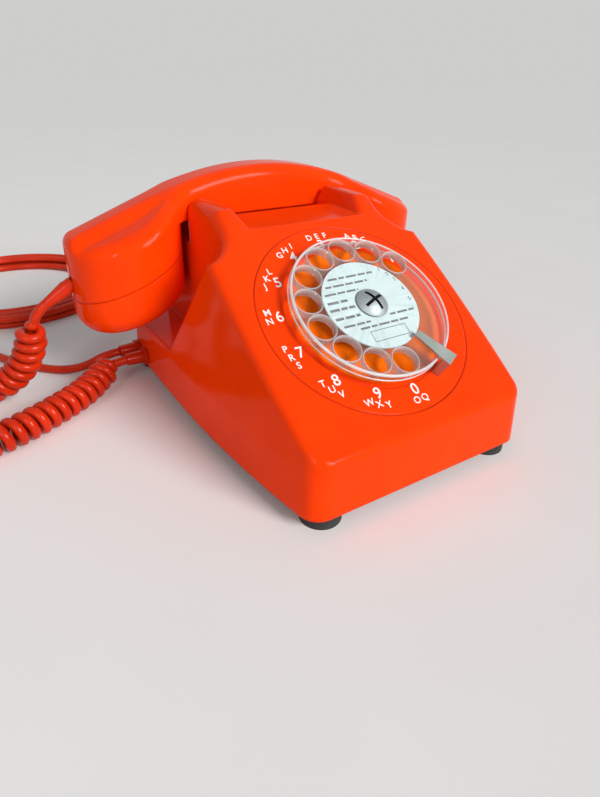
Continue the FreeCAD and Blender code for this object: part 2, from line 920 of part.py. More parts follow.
def make_wheel_trim():
    hub = d.shaft_radius + d.slide_clearance
    card = turned("label_card", [
        (hub, 0), (d.card_radius, 0), (d.card_radius, d.card_thickness), (hub, d.card_thickness),
    ])
    keep(on_dial(card, z=card_under), "label_card")
    cover = turned("card_cover", [
        (hub, 0), (d.card_radius, 0), (d.card_radius, d.cover_thickness), (hub, d.cover_thickness),
    ])
    keep(on_dial(cover, z=card_under + d.card_thickness), "card_cover")

    rise = d.centre_cap_height
    dome_radius = (d.centre_cap_radius * d.centre_cap_radius + rise * rise) / (rise * 2)
    dome = doc.addObject("Part::Sphere", "cap_dome")
    bind(dome, Radius=dome_radius)
    place(dome, 0, 0, rise - dome_radius)
    disc = rod("cap_disc", d.centre_cap_radius, rise)
    button = doc.addObject("Part::MultiCommon", "cap_button")
    button.Shapes = [dome, disc]
    arm = d.centre_cap_radius * 1.4
    slot_floor = rise - d.cap_slot_depth
    cross = doc.addObject("Part::MultiFuse", "cap_cross")
    cross.Shapes = [
        box_at("cap_slot_1", arm, d.cap_slot, rise, 0, 0, slot_floor),
        box_at("cap_slot_2", d.cap_slot, arm, rise, 0, 0, slot_floor),
    ]
    cap = doc.addObject("Part::Cut", "centre_cap")
    cap.Base = button
    cap.Tool = cross
    keep(on_dial(cap, z=wheel_top, spin=20), "centre_cap")


def toothed(teeth, thickness, bore, phase):
    """Spur gear with straight-sided teeth, thin enough to run with room on both flanks."""
    pitch_radius = float(d.gear_module) * teeth / 2
    step = 2 * math.pi / teeth
    root = pitch_radius - float(d.gear_module) * 1.15
    tip = pitch_radius + float(d.gear_module) * 0.8
    corners = []
    for i in range(teeth):
        middle = phase + i * step
        for share, radius in ((-0.27, root), (-0.10, tip), (0.10, tip), (0.27, root)):
            turn = middle + share * step
            corners.append(Vector(radius * math.cos(turn), radius * math.sin(turn), 0))
    return drilled(prism(corners, Vector(0, 0, float(thickness))), bore, thickness, Vector())


def make_dial_drive():
    shaft = turned("dial_shaft", [
        (0, back_top - d.frame_thickness),
        (d.shaft_radius, back_top - d.frame_thickness),
        (d.shaft_radius, wheel_top),
        (0, wheel_top),
    ])
    keep(on_dial(shaft), "dial_shaft")
    bore = d.shaft_radius + d.press_clearance
    gear = solid_node("main_gear", toothed(gear_teeth, d.gear_thickness, bore, 0.0))
    on_dial(gear, z=gear_under)

    spring_outer = d.drum_radius - d.drum_wall - d.gap_clearance
    spring = turned("return_spring", [
        (bore, 0),
        (spring_outer, 0),
        (spring_outer, d.drum_height - d.drum_wall),
        (bore, d.drum_height - d.drum_wall),
    ])
    keep(on_dial(spring, z=back_top + d.drum_wall + d.gap_clearance), "return_spring")

    spindle = turned("governor_spindle", [
        (0, back_top - d.frame_thickness),
        (d.spindle_radius, back_top - d.frame_thickness),
        (d.spindle_radius, frame_under + d.frame_thickness),
        (0, frame_under + d.frame_thickness),
    ])
    keep(on_dial(spindle, axle_distance), "governor_spindle")
    bore = d.spindle_radius + d.press_clearance
    half_tooth = math.pi / pinion_teeth
    pinion = solid_node("governor_pinion", toothed(pinion_teeth, d.gear_thickness, bore, half_tooth))
    on_dial(pinion, axle_distance, 0, gear_under)

    arm_under = back_top + d.governor_cup_wall + d.gap_clearance
    arm_height = d.governor_cup_height - d.governor_cup_wall * 2
    swing = d.governor_cup_radius - d.governor_cup_wall - d.weight_radius - d.gap_clearance
    hub = turned("governor_hub", [
        (bore, 0), (d.weight_radius, 0), (d.weight_radius, arm_height), (bore, arm_height),
    ])
    keep(on_dial(hub, axle_distance, 0, arm_under), "governor_hub")
    weights = []
    for side in (-1, 1):
        weight = rod(f"governor_weight_{len(weights) + 1}", d.weight_radius, arm_height)
        weights.append(on_dial(weight, axle_distance, side * swing, arm_under))
    group("governor_weights", weights)
    bars = []
    for side in (-1, 1):
        gap = swing - d.weight_radius * 2
        bar = box(f"governor_bar_{len(bars) + 1}", d.weight_radius, gap, arm_height / 2)
        near = d.weight_radius if side > 0 else d.weight_radius - swing
        bars.append(on_dial(bar, axle_distance - d.weight_radius / 2, near, arm_under))
    group("governor_springs", bars)


# Hook switch under the cradle
plunger_top = d.seat_height - d.gap_clearance
shelf_under = trough_floor - d.wall
flange_top = shelf_under - d.plunger_travel - d.gap_clearance
flange_under = flange_top - d.plunger_flange_height
lever_top = flange_under - d.gap_clearance
pivot_z = lever_top - d.lever_thickness / 2
lever_width = plunger_spacing + d.lever_margin * 2


def make_hook():
    plungers = []
    for side in (-1, 1):
        plunger = turned(f"plunger_{len(plungers) + 1}", [
            (0, flange_under),
            (d.plunger_flange, flange_under),
            (d.plunger_flange, flange_top),
            (d.plunger_radius, flange_top),
            (d.plunger_radius, plunger_top),
            (0, plunger_top),
        ])
        plungers.append(place(plunger, side * plunger_spacing / 2, d.handle_y, 0))
    group("hook_plungers", plungers)

    barrel = d.hook_pin_radius * 2
    lever = padded("hook_lever", "YZ_Plane", lambda s: outline(s, [
        (-barrel, -barrel),
        (barrel, -barrel),
        (barrel, -d.lever_thickness / 2),
        (d.lever_reach, -d.lever_thickness / 2),
        (d.lever_reach, d.lever_thickness / 2),
        (-barrel, d.lever_thickness / 2),
    ]), lever_width, True)
    bore = d.hook_pin_radius + d.running_clearance
    pocketed(lever, "YZ_Plane", lambda s: circle(s, bore, 0, -d.hook_pin_radius), "hook_lever_bore")
    keep(place(lever, 0, d.hook_pivot_y, pivot_z), "hook_lever")

    pin_length = lever_width + d.gap_clearance * 2 + d.hook_ear * 2
    pivot = rod("hook_pin", d.hook_pin_radius, pin_length)
    place(pivot, -pin_length / 2, d.hook_pivot_y, pivot_z - d.hook_pin_radius, Rotation(Y_AXIS, 90))
    keep(pivot, "hook_pin")

    plate_under = shelf_under - d.hook_plate
    front = d.trough_front - d.wall + d.gap_clearance
    rear = d.hook_pivot_y + barrel
    bracket = padded("hook_bracket", "XY_Plane", lambda s: outline(s, [
        (-pin_length / 2, front),
        (pin_length / 2, front),
        (pin_length / 2, rear),
        (-pin_length / 2, rear),
    ]), d.hook_plate)
    place(bracket, 0, 0, plate_under)
    ears = sketch_on(bracket, "YZ_Plane", "hook_ears_outline")
    ear_drop = plate_under - pivot_z + barrel * 2
    outline(ears, [
        (d.hook_pivot_y - barrel, 0),
        (d.hook_pivot_y - barrel, -ear_drop),
        (rear, -ear_drop),
        (rear, 0),
    ])
    ear_pad = bracket.newObject("PartDesign::Pad", "hook_ears")
    ear_pad.Profile = ears
    ear_pad.Midplane = True
    bind(ear_pad, Length=pin_length)
    bracket.Tip = ear_pad
    room = sketch_on(bracket, "XZ_Plane", "hook_room_outline")
    inner = pin_length / 2 - d.hook_ear
    outline(room, [(-inner, -ear_drop * 2), (inner, -ear_drop * 2), (inner, 0), (-inner, 0)])
    cut = bracket.newObject("PartDesign::Pocket", "hook_room")
    cut.Profile = room
    cut.Type = "ThroughAll"
    cut.Midplane = True
    bracket.Tip = cut
    hole = d.hook_pin_radius + d.press_clearance
    height = pivot_z - d.hook_pin_radius - plate_under
    pocketed(bracket, "YZ_Plane", lambda s: circle(s, hole, d.hook_pivot_y, height), "hook_pin_holes")
    keep(bracket, "hook_bracket")

    stack = box_at("contact_springs", d.spring_stack_width, d.spring_stack_depth, d.spring_stack_drop,
                   0, front + d.spring_stack_depth / 2, plate_under - d.spring_stack_drop)
    keep(stack, "contact_springs")


# Ringer behind the dial
gong_y = y_rear - d.wall - d.gong_radius - d.gong_room
clapper_y = gong_y - d.clapper_arm
ringer_front = clapper_y + d.clapper_hub * 2 - d.ringer_length
ringer_top = floor + d.ringer_plate
coil_z = ringer_top + d.coil_radius + d.gap_clearance


def make_ringer():
    for label, side in (("left_gong", -1), ("right_gong", 1)):
        rim = d.gong_radius
        inner = rim - d.gong_wall
        crown = d.gong_height - d.gong_wall
        gong = turned(label, [
            (d.gong_post_radius + d.press_clearance, d.gong_height),
            (d.gong_post_radius + d.press_clearance, crown),
            (inner * 0.6, crown),
            (inner * 0.9, crown * 0.7),
            (inner, 0),
            (rim, 0),
            (rim * 0.92, d.gong_height * 0.75),
            (rim * 0.62, d.gong_height),
        ])
        keep(place(gong, side * d.gong_spacing / 2, gong_y, floor + d.gong_lift), label)

    posts = []
    for side in (-1, 1):
        shoulder = d.gong_lift + d.gong_height - d.gong_wall
        post = turned(f"gong_post_{len(posts) + 1}", [
            (0, 0),
            (d.gong_post_radius * 1.5, 0),
            (d.gong_post_radius * 1.5, shoulder),
            (d.gong_post_radius, shoulder),
            (d.gong_post_radius, shoulder + d.gong_wall),
            (0, shoulder + d.gong_wall),
        ])
        posts.append(place(post, side * d.gong_spacing / 2, gong_y, floor))
    group("gong_posts", posts)

    plate_middle = ringer_front + d.ringer_length / 2
    keep(box_at("ringer_frame", d.ringer_width, d.ringer_length, d.ringer_plate, 0, plate_middle, floor),
         "ringer_frame")
    yoke_height = d.coil_radius * 2 + d.gap_clearance
    keep(box_at("ringer_yoke", d.ringer_width, d.yoke_thickness, yoke_height,
                0, ringer_front + d.yoke_thickness / 2, ringer_top), "ringer_yoke")
    coils = []
    for side in (-1, 1):
        coil = rod(f"coil_{len(coils) + 1}", d.coil_radius, d.coil_length)
        coils.append(place(coil, side * d.coil_spacing / 2, ringer_front + d.yoke_thickness, coil_z,
                           Rotation(X_AXIS, -90)))
    group("ringer_coils", coils)

    post = turned("clapper_post", [
        (0, 0),
        (d.clapper_hub, 0),
        (d.clapper_hub, coil_z - ringer_top - d.clapper_width),
        (d.clapper_hub / 2, coil_z - ringer_top - d.clapper_width),
        (d.clapper_hub / 2, coil_z - ringer_top + d.clapper_width),
        (0, coil_z - ringer_top + d.clapper_width),
    ])
    keep(place(post, 0, clapper_y, ringer_top), "clapper_post")

    height = float(d.clapper_width)
    hub = Part.makeCylinder(float(d.clapper_hub), height, Vector(0, 0, -height / 2))
    width = float(d.clapper_width)
    arm = block(-width / 2, width / 2, 0, float(d.clapper_arm), -height / 2, height / 2)
    ball = Part.makeSphere(float(d.clapper_ball), Vector(0, float(d.clapper_arm), 0))
    span = float(d.coil_spacing / 2 + d.clapper_hub)
    behind = -float(d.clapper_hub)
    armature = block(-span, span, behind - width, behind, -height / 2, height / 2)
    stem = block(-width / 2, width / 2, behind - width, 0, -height / 2, height / 2)
    clapper = hub.fuse([arm, ball, armature, stem])
    clapper = drilled(clapper, d.clapper_hub / 2 + d.running_clearance, height, Vector(0, 0, -height / 2))
    rest = d.clapper_width / 2 - d.running_clearance
    place(solid_node("clapper", clapper.removeSplitter()), 0, clapper_y, coil_z - rest)


# Circuit board between the front bosses, and what is on it
board_width = d.front_width - (d.boss_inset + d.boss_radius + d.board_gap) * 2
board_front = y_front + d.board_setback
board_rear = ringer_front - d.board_room
board_length = board_rear - board_front
board_y = (board_front + board_rear) / 2


def make_board():
    board_top = floor + d.board_lift + d.board_thickness
    keep(box_at("circuit_board", board_width, board_length, d.board_thickness,
                0, board_y, floor + d.board_lift), "circuit_board")
    posts = []
    for side in (-1, 1):
        for end in (-1, 1):
            post = rod(f"board_post_{len(posts) + 1}", d.board_post_radius, d.board_lift)
            posts.append(place(post, side * (board_width / 2 - d.board_post_inset),
                               board_y + end * (board_length / 2 - d.board_post_inset), floor))
    group("board_posts", posts)
    keep(box_at("transformer", d.transformer_side, d.transformer_side, d.transformer_height,
                board_width / 4, board_rear - d.transformer_side / 2, board_top), "transformer")
    capacitors = []
    for i in range(2):
        capacitor = rod(f"capacitor_{i + 1}", d.capacitor_radius, d.capacitor_length)
        across = -board_width / 4 - d.capacitor_length / 2
        behind = board_rear - d.capacitor_radius * (1.5 + 2.5 * i)
        capacitors.append(place(capacitor, across, behind, board_top + d.capacitor_radius,
                                Rotation(Y_AXIS, 90)))
    group("capacitors", capacitors)
    left = -d.rear_width / 2 + d.boss_inset
    keep(box_at("terminal_block", d.terminal_width, d.terminal_length, d.terminal_height,
                left + d.terminal_width / 2, d.rear_boss_y - d.terminal_length, floor), "terminal_block")


# Handset
cup_x = d.handset_length / 2 - d.cup_diameter / 2
cup_radius = d.cup_diameter / 2
seam_slope = math.radians(float(d.seam_tilt))


def seam_prism(side, start, end):
    """Everything under one cup between two planes parallel to its seam, counted down from it."""
    down = Vector(-side * math.sin(seam_slope), 0, -math.cos(seam_slope))
    centre = Vector(side * float(cup_x), float(d.handle_y), float(d.seam_height))
    slab = Part.makeBox(reach, reach, end - start, Vector(-reach / 2, -reach / 2, 0))
    slab.Placement = Placement(centre + down * start, Rotation(Z_AXIS, down))
    return slab


def cup_slice(side, radius, start, end):
    """Upright round piece in a cup, cut off at both ends parallel to the seam."""
    column = Part.makeCylinder(float(radius), reach, Vector(side * float(cup_x), float(d.handle_y), 0))
    return column.common(seam_prism(side, float(start), float(end)))


def handle_plan():
    """Plan of the handset: a grip that flares into both cups along arcs tangent to them."""
    half = float(d.handle_depth) / 2
    flare = float(d.handle_blend)
    radius = float(cup_radius)
    middle = float(cup_x)
    run = math.sqrt((radius + flare) ** 2 - (half + flare) ** 2)
    cup = Vector(middle, 0, 0)
    hollow = Vector(middle - run, half + flare, 0)
    grip = Vector(hollow.x, half, 0)
    rim = cup + (hollow - cup).normalize() * radius
    between = hollow + (grip - hollow + rim - hollow).normalize() * flare
    end = Vector(middle + radius, 0, 0)

    def at(point, side, way):
        return Vector(side * point.x, float(d.handle_y) + way * point.y, float(d.seat_height))

    edges = []
    for side in (1, -1):
        edges.append(line(at(grip, -side, side), at(grip, side, side)))
        edges.append(arc(at(grip, side, side), at(between, side, side), at(rim, side, side)))
        edges.append(arc(at(rim, side, side), at(end, side, side), at(rim, side, -side)))
        edges.append(arc(at(rim, side, -side), at(between, side, -side), at(grip, side, -side)))
    return Part.Face(Part.Wire(edges))


def under_arch():
    """Everything below the handset's arched back."""
    half = float(d.handset_length) / 2
    crest = float(d.seat_height + d.handle_rise)
    arch = float(arch_radius)
    turn_off = float(d.arch_half)
    rise = math.sqrt(arch ** 2 - turn_off ** 2)
    shoulder = crest - arch + rise
    end = shoulder - turn_off / rise * (half - turn_off)

    def at(x, z):
        return Vector(x, float(d.handle_y - d.cup_diameter), z)

    face = Part.Face(Part.Wire([
        line(at(-half, 0), at(-half, end)),
        line(at(-half, end), at(-turn_off, shoulder)),
        arc(at(-turn_off, shoulder), at(0, crest), at(turn_off, shoulder)),
        line(at(turn_off, shoulder), at(half, end)),
        line(at(half, end), at(half, 0)),
        line(at(half, 0), at(-half, 0)),
    ]))
    return face.extrude(Vector(0, float(d.cup_diameter * 2), 0))


def handle_blank():
    """Grip and cups as one soft moulding, still open at the bottom of the cups."""
    blank = handle_plan().extrude(Vector(0, 0, float(d.handle_rise) * 2))
    for side in (-1, 1):
        foot = Vector(side * float(cup_x), float(d.handle_y), 0)
        blank = blank.fuse(Part.makeCylinder(float(cup_radius), float(d.seat_height), foot))
    blank = blank.removeSplitter().common(under_arch())

    def middle_of(edge):
        return edge.valueAt((edge.FirstParameter + edge.LastParameter) / 2)

    def on_back(edge):
        point = middle_of(edge)
        faces = blank.ancestorsOfType(edge, Part.Face)
        rises = [abs(f.normalAt(*f.Surface.parameter(point)).z) for f in faces]
        return point.z > float(d.seam_height) and len(rises) == 2 and max(rises) > 0.5 and min(rises) < 0.3

    def is_low(edge):
        point = middle_of(edge)
        return point.z < float(d.seat_height) + 1e-3 and abs(point.x) < float(cup_x - cup_radius * 0.5)

    back = [e for e in blank.Edges if on_back(e) and not is_low(e)]
    return blank.makeFillet(float(d.handle_edge), back)


relief_turn = Rotation(Y_AXIS, -90 - float(d.relief_droop))
relief_base = Vector(-float(d.handset_length) / 2, float(d.handle_y), float(d.relief_height))
relief_out = relief_turn.multVec(Z_AXIS)


def make_handset():
    middle = float(d.handle_y)
    handle = handle_blank()
    bore = float(cup_radius - d.cup_wall)
    for side in (-1, 1):
        column = Part.makeCylinder(float(cup_radius) * 1.02, reach, Vector(side * float(cup_x), middle, 0))
        handle = handle.cut(column.common(seam_prism(side, 0.0, reach)))
        handle = handle.cut(cup_slice(side, bore, -d.cup_depth, reach / 2))
    inside = relief_base - relief_out * float(d.cup_wall * 2)
    handle = drilled(handle, d.relief_radius + d.slide_clearance, d.cup_wall * 3, inside, relief_out)
    solid_node("handset_handle", handle.removeSplitter())

    for label, side in (("mouth_cap", -1), ("ear_cap", 1)):
        cap = cup_slice(side, cup_radius, d.seam_gap, d.cap_depth)
        low = [e for e in cap.Edges if e.CenterOfMass.z < float(d.seam_height) - float(d.cap_depth) / 2
               and len(e.Vertexes) == 1]
        cap = cap.makeFillet(float(d.cap_round), low)
        room = cup_slice(side, cup_radius - d.cup_wall, -d.cap_depth, d.cap_depth - d.cup_wall)
        low = [e for e in room.Edges if e.CenterOfMass.z < float(d.seam_height) - float(d.cap_depth) / 2
               and len(e.Vertexes) == 1]
        cap = cap.cut(room.makeFillet(float(d.cap_round - d.cup_wall), low))
        down = Vector(-side * math.sin(seam_slope), 0, -math.cos(seam_slope))
        across = Y_AXIS.cross(down)
        centre = Vector(side * float(cup_x), middle, float(d.seam_height)) + down * float(d.cap_depth / 2)
        spots = [centre]
        for i in range(sound_holes):
            turn = 2 * math.pi * i / sound_holes
            spots.append(centre + (across * math.cos(turn) + Y_AXIS * math.sin(turn)) * float(d.sound_circle))
        for spot in spots:
            cap = drilled(cap, d.sound_hole, d.cap_depth, spot, down)
        solid_node(label, cap)

    carrier = float(cup_radius - d.cup_wall - d.gap_clearance)
    top = -d.cup_depth + d.gap_clearance
    seat = top + d.carrier_thickness
    for label, capsule_label, side in (
        ("transmitter_cup", "transmitter_capsule", -1),
        ("receiver_clamp", "receiver_capsule", 1),
    ):
        solid_node(label, cup_slice(side, carrier, top, seat))
        solid_node(capsule_label, cup_slice(side, d.capsule_radius, seat, seat + d.capsule_thickness))

    collar = d.relief_collar * tangent(d.relief_droop) + d.gap_clearance
    relief = turned("handset_relief", [
        (0, -d.relief_grip),
        (d.relief_radius, -d.relief_grip),
        (d.relief_radius, collar),
        (d.relief_collar, collar),
        (d.relief_end, d.relief_length),
        (0, d.relief_length),
    ])
    place(relief, -d.handset_length / 2, d.handle_y, d.relief_height, relief_turn)
    keep(relief, "handset_relief")


# Cords
def rounded_route(points):
    """Straight runs joined by tangent arcs that are as large as the runs allow."""
    edges = []
    radii = []
    last = points[0]
    for before, corner, after in zip(points, points[1:], points[2:]):
        arrive = (corner - before).normalize()
        leave = (after - corner).normalize()
        turn = arrive.getAngle(leave)
        cut = 0.45 * min((corner - before).Length, (after - corner).Length)
        radius = cut / math.tan(turn / 2)
        start = corner - arrive * cut
        end = corner + leave * cut
        toward = (leave - arrive).normalize()
        middle = corner + toward * (radius / math.cos(turn / 2) - radius)
        edges.append(line(last, start))
        edges.append(arc(start, middle, end))
        radii.append(radius)
        last = end
    edges.append(line(last, points[-1]))
    return edges, radii


def tube(label, edges, wire):
    """Round tube along a route of straight runs and arcs."""
    route = Part.Wire(edges)
    first = route.OrderedEdges[0]
    start = first.valueAt(first.FirstParameter)
    heading = first.tangentAt(first.FirstParameter)
    ring = Part.Wire([Part.makeCircle(wire / 2, start, heading)])
    shell = Part.BRepOffsetAPI.MakePipeShell(route)
    shell.add(ring)
    shell.build()
    shell.makeSolid()
    solid = Part.Solid(shell.shape()) if shell.shape().ShapeType == "Shell" else shell.shape()
    share = solid.Volume / (math.pi * wire ** 2 / 4 * route.Length)
    print(f"{label}: length {route.Length:.1f} mm, volume {share:.4f} of section times length")
    solid_node(label, solid)


def least_gap(points, wire, apart):
    """Least gap of a tube to itself, on points along its middle line."""
    least = reach
    for i, one in enumerate(points):
        for other in points[i + apart:]:
            least = min(least, one.distanceToPoint(other))
    return least - wire


def biarc(start, heading, end, arriving):
    """Two arcs that leave and arrive along given headings."""
    chord = end - start
    both = heading + arriving
    a = 2 * (1 - heading.dot(arriving))
    b = 2 * chord.dot(both)
    c = chord.dot(chord)
    run = (-b + math.sqrt(b * b + 4 * a * c)) / (2 * a) if a > 1e-9 else c / (4 * chord.dot(arriving))
    join = (start + heading * run + end - arriving * run) * 0.5
    return [arc_along(start, heading, join), arc_along(end, -arriving, join, True)]


def arc_along(start, heading, end, backward=False):
    """Arc from a start along a heading to an end, or a straight run where they line up."""
    chord = end - start
    side = chord - heading * chord.dot(heading)
    if side.Length < 1e-6 * chord.Length:
        return line(end, start) if backward else line(start, end)
    side.normalize()
    half = heading.getAngle(chord)
    middle = (start + end) * 0.5 - side * (chord.Length / 2 * math.tan(half / 2)) * math.cos(half)
    middle = middle + heading * (chord.Length / 2 * math.tan(half / 2)) * math.sin(half)
    return arc(end, middle, start) if backward else arc(start, middle, end)


def route_points(points, step):
    """Points and headings at an even step along a rounded route."""
    edges, radii = rounded_route(points)
    route = Part.Wire(edges)
    marks = []
    count = int(round(route.Length / step))
    ends = []
    total = 0.0
    for edge in route.OrderedEdges:
        ends.append((total, edge))
        total += edge.Length
    for i in range(count + 1):
        travel = total * i / count
        begin, edge = [e for e in ends if e[0] <= travel + 1e-9][-1]
        parameter = edge.getParameterByLength(min(travel - begin, edge.Length))
        marks.append((travel, edge.valueAt(parameter), edge.tangentAt(parameter)))
    return marks, total, radii


# Middle line of the curls, from the gland in the housing round to the handset's relief
def curl_route():
    gland = Vector(float(-d.rear_width / 2 - d.gland_length), float(handset_gland_y), float(d.gland_height))
    tip = relief_base + relief_out * float(d.relief_length)
    lead = tip + relief_out * 7.0
    return [
        gland,
        gland - X_AXIS * 9.0,
        Vector(-104.0, 64.5, 9.6),
        Vector(-114.5, 54.5, 8.4),
        Vector(-130.0, 44.5, 8.4),
        Vector(-147.0, 35.5, 8.4),
        Vector(-165.0, 28.5, 8.4),
        Vector(-183.5, 29.5, 8.4),
        Vector(-198.0, 39.5, 8.4),
        Vector(-203.0, 56.0, 8.4),
        Vector(-197.0, 72.5, 8.4),
        Vector(-182.0, 82.0, 8.4),
        Vector(-166.0, 82.0, 8.4),
        Vector(-152.0, 79.5, 11.0),
        Vector(-142.5, 75.5, 19.0),
        Vector(-136.0, 72.0, 30.0),
        Vector(-132.5, 69.0, 43.0),
        lead,
        tip,
    ]


def make_handset_cord():
    wire = float(d.curl_wire)
    pitch = float(d.curl_pitch)
    full = float(d.curl_diameter - d.curl_wire) / 2
    marks, total, radii = route_points(curl_route(), pitch / 4)
    print("handset cord radii", [round(r, 1) for r in radii])
    lead_in = pitch * 1.0
    lead_out = pitch * 2.0
    ramp = pitch * 1.5

    def curl_radius(travel):
        inward = min(max((travel - lead_in) / ramp, 0.0), 1.0)
        outward = min(max((total - lead_out - travel) / ramp, 0.0), 1.0)
        share = min(inward, outward)
        return full * share * share * (3 - 2 * share)

    across = Z_AXIS
    spots = []
    for travel, point, heading in marks:
        across = (across - heading * across.dot(heading)).normalize()
        turn = 2 * math.pi * travel / pitch
        spoke = across * math.cos(turn) + heading.cross(across) * math.sin(turn)
        spots.append((point + spoke * curl_radius(travel), heading))
    headings = []
    for i, (spot, heading) in enumerate(spots):
        if i in (0, len(spots) - 1):
            headings.append(heading)
        else:
            headings.append(three_point_heading(spots[i - 1][0], spot, spots[i + 1][0]))
    edges = []
    for i in range(len(spots) - 1):
        edges += biarc(spots[i][0], headings[i], spots[i + 1][0], headings[i + 1])
    middle_line = [e.valueAt(e.FirstParameter) for e in edges]
    print(f"handset cord: {total / pitch:.1f} curls, least gap {least_gap(middle_line, wire, 7):.2f} mm")
    tube("handset_cord", edges, wire)


def three_point_heading(before, point, after):
    """Heading at the middle one of three points, along the circle through them."""
    near = point - before
    far = after - point
    return (near * (far.Length / near.Length) + far * (near.Length / far.Length)).normalize()


# Line cord: a free run on the table, a loose coil behind the telephone and the plug beside it
table_rest = d.line_wire / 2 + d.slide_clearance
coil_centre = Vector(-120.0, 255.0, float(table_rest))
coil_start = math.radians(200.0)
coil_sweep = -2 * math.pi * coil_turns - math.radians(50.0)


def coil_spot(share):
    """Point of the coil: it spirals in on the table, climbs, and spirals out on top of itself."""
    half = 0.5
    turn = coil_start + coil_sweep * share
    inward = min(share, 1 - share) / half
    radius = float(d.coil_outer) / 2 - float(d.coil_step) * (coil_turns / 2) * inward
    climb = min(max((share - half) * coil_turns * 2 + half, 0.0), 1.0)
    height = float(d.coil_climb) * climb * climb * (3 - 2 * climb)
    return coil_centre + Vector(radius * math.cos(turn), radius * math.sin(turn), height)


def coil_ends():
    """Straight ends of the coil, one wire diameter long."""
    small = 1e-4
    first = coil_spot(0.0)
    last = coil_spot(1.0)
    heading_in = (coil_spot(small) - first).normalize()
    heading_out = (last - coil_spot(1 - small)).normalize()
    return first, heading_in, last, heading_out


def make_line_cord():
    wire = float(d.line_wire)
    rest = float(table_rest)
    first, heading_in, last, heading_out = coil_ends()
    entry = first - heading_in * wire
    gland = Vector(float(-d.rear_width / 2 - d.gland_length), float(line_gland_y), float(d.gland_height))
    points = [
        gland,
        gland - X_AXIS * 9.0,
        Vector(-106.0, 89.0, 6.0),
        Vector(-119.0, 98.0, rest),
        Vector(-134.0, 113.0, rest),
        Vector(-148.0, 134.0, rest),
        Vector(-158.0, 158.0, rest),
        Vector(-170.0, 182.0, rest),
        entry - heading_in * 27.0,
        entry,
    ]
    edges, radii = rounded_route(points)
    print("line cord radii", [round(r, 1) for r in radii])
    tube("line_cord", edges, wire)

    count = coil_turns * 4
    spots = [coil_spot(i / count) for i in range(count + 1)]
    headings = [heading_in]
    headings += [three_point_heading(*spots[i - 1:i + 2]) for i in range(1, count)]
    headings.append(heading_out)
    edges = [line(entry, first)]
    for i in range(count):
        edges += biarc(spots[i], headings[i], spots[i + 1], headings[i + 1])
    exit_point = last + heading_out * float(d.plug_lead)
    edges.append(line(last, exit_point))
    fine = [coil_spot(i / 600.0) for i in range(601)]
    print(f"line coil: least gap {least_gap(fine, wire, 20):.2f} mm")
    tube("line_coil", edges, wire)

    turn = Rotation(X_AXIS, heading_out)
    body = padded("plug", "XY_Plane", lambda s: outline(s, [
        (0, -d.plug_width / 2),
        (d.plug_length, -d.plug_width / 2),
        (d.plug_length, d.plug_width / 2),
        (0, d.plug_width / 2),
    ]), d.plug_height)
    doc.recompute()
    brick = body.Tip
    corners = []
    for number, edge in enumerate(brick.Shape.Edges, start=1):
        if edge.BoundBox.ZLength > float(d.plug_height) - 1e-3:
            corners.append(f"Edge{number}")
    soft = body.newObject("PartDesign::Fillet", "plug_corners")
    soft.Base = (brick, corners)
    bind(soft, Radius=d.plug_edge)
    body.Tip = soft
    flat = Rotation(Z_AXIS, math.degrees(math.atan2(heading_out.y, heading_out.x)))
    plug_base = Vector(exit_point.x, exit_point.y, 0)
    body.Placement = Placement(plug_base, flat)
    keep(body, "plug")

    pins = []
    for side in (-1, 1):
        for level in (0.3, 0.7):
            prong = rod(f"plug_pin_{len(pins) + 1}", d.pin_radius, d.pin_length)
            across = side * float(d.pin_spacing) / 2
            start = Vector(float(d.plug_length), across, float(d.plug_height) * level)
            prong.Placement = Placement(plug_base + flat.multVec(start), flat.multiply(Rotation(Y_AXIS, 90)))
            pins.append(prong)
    group("plug_pins", pins)


make_shell()
make_base()
make_gland("handset_gland", handset_gland_y)
make_gland("line_gland", line_gland_y)
make_dial_plates()
make_finger_stop()
make_finger_wheel()
make_wheel_trim()
make_dial_drive()
make_hook()
make_ringer()
make_board()
make_handset()
make_handset_cord()
make_line_cord()
doc.recompute()

# Every object is checked before anything is written
for item in doc.Objects:
    if "Invalid" in item.State or "Error" in item.State:
        raise RuntimeError(f"{item.Label} did not build")
for item in nodes:
    if item.Shape.isNull() or not item.Shape.isValid():
        raise RuntimeError(f"{item.Label} has no valid shape")

os.makedirs("parts", exist_ok=True)
for item in nodes:
    item.Shape.exportStep(f"parts/{item.Label}.step")
print(f"{len(nodes)} nodes written")
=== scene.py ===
import json
import math

import bmesh
import bpy
from mathutils import Matrix, Vector


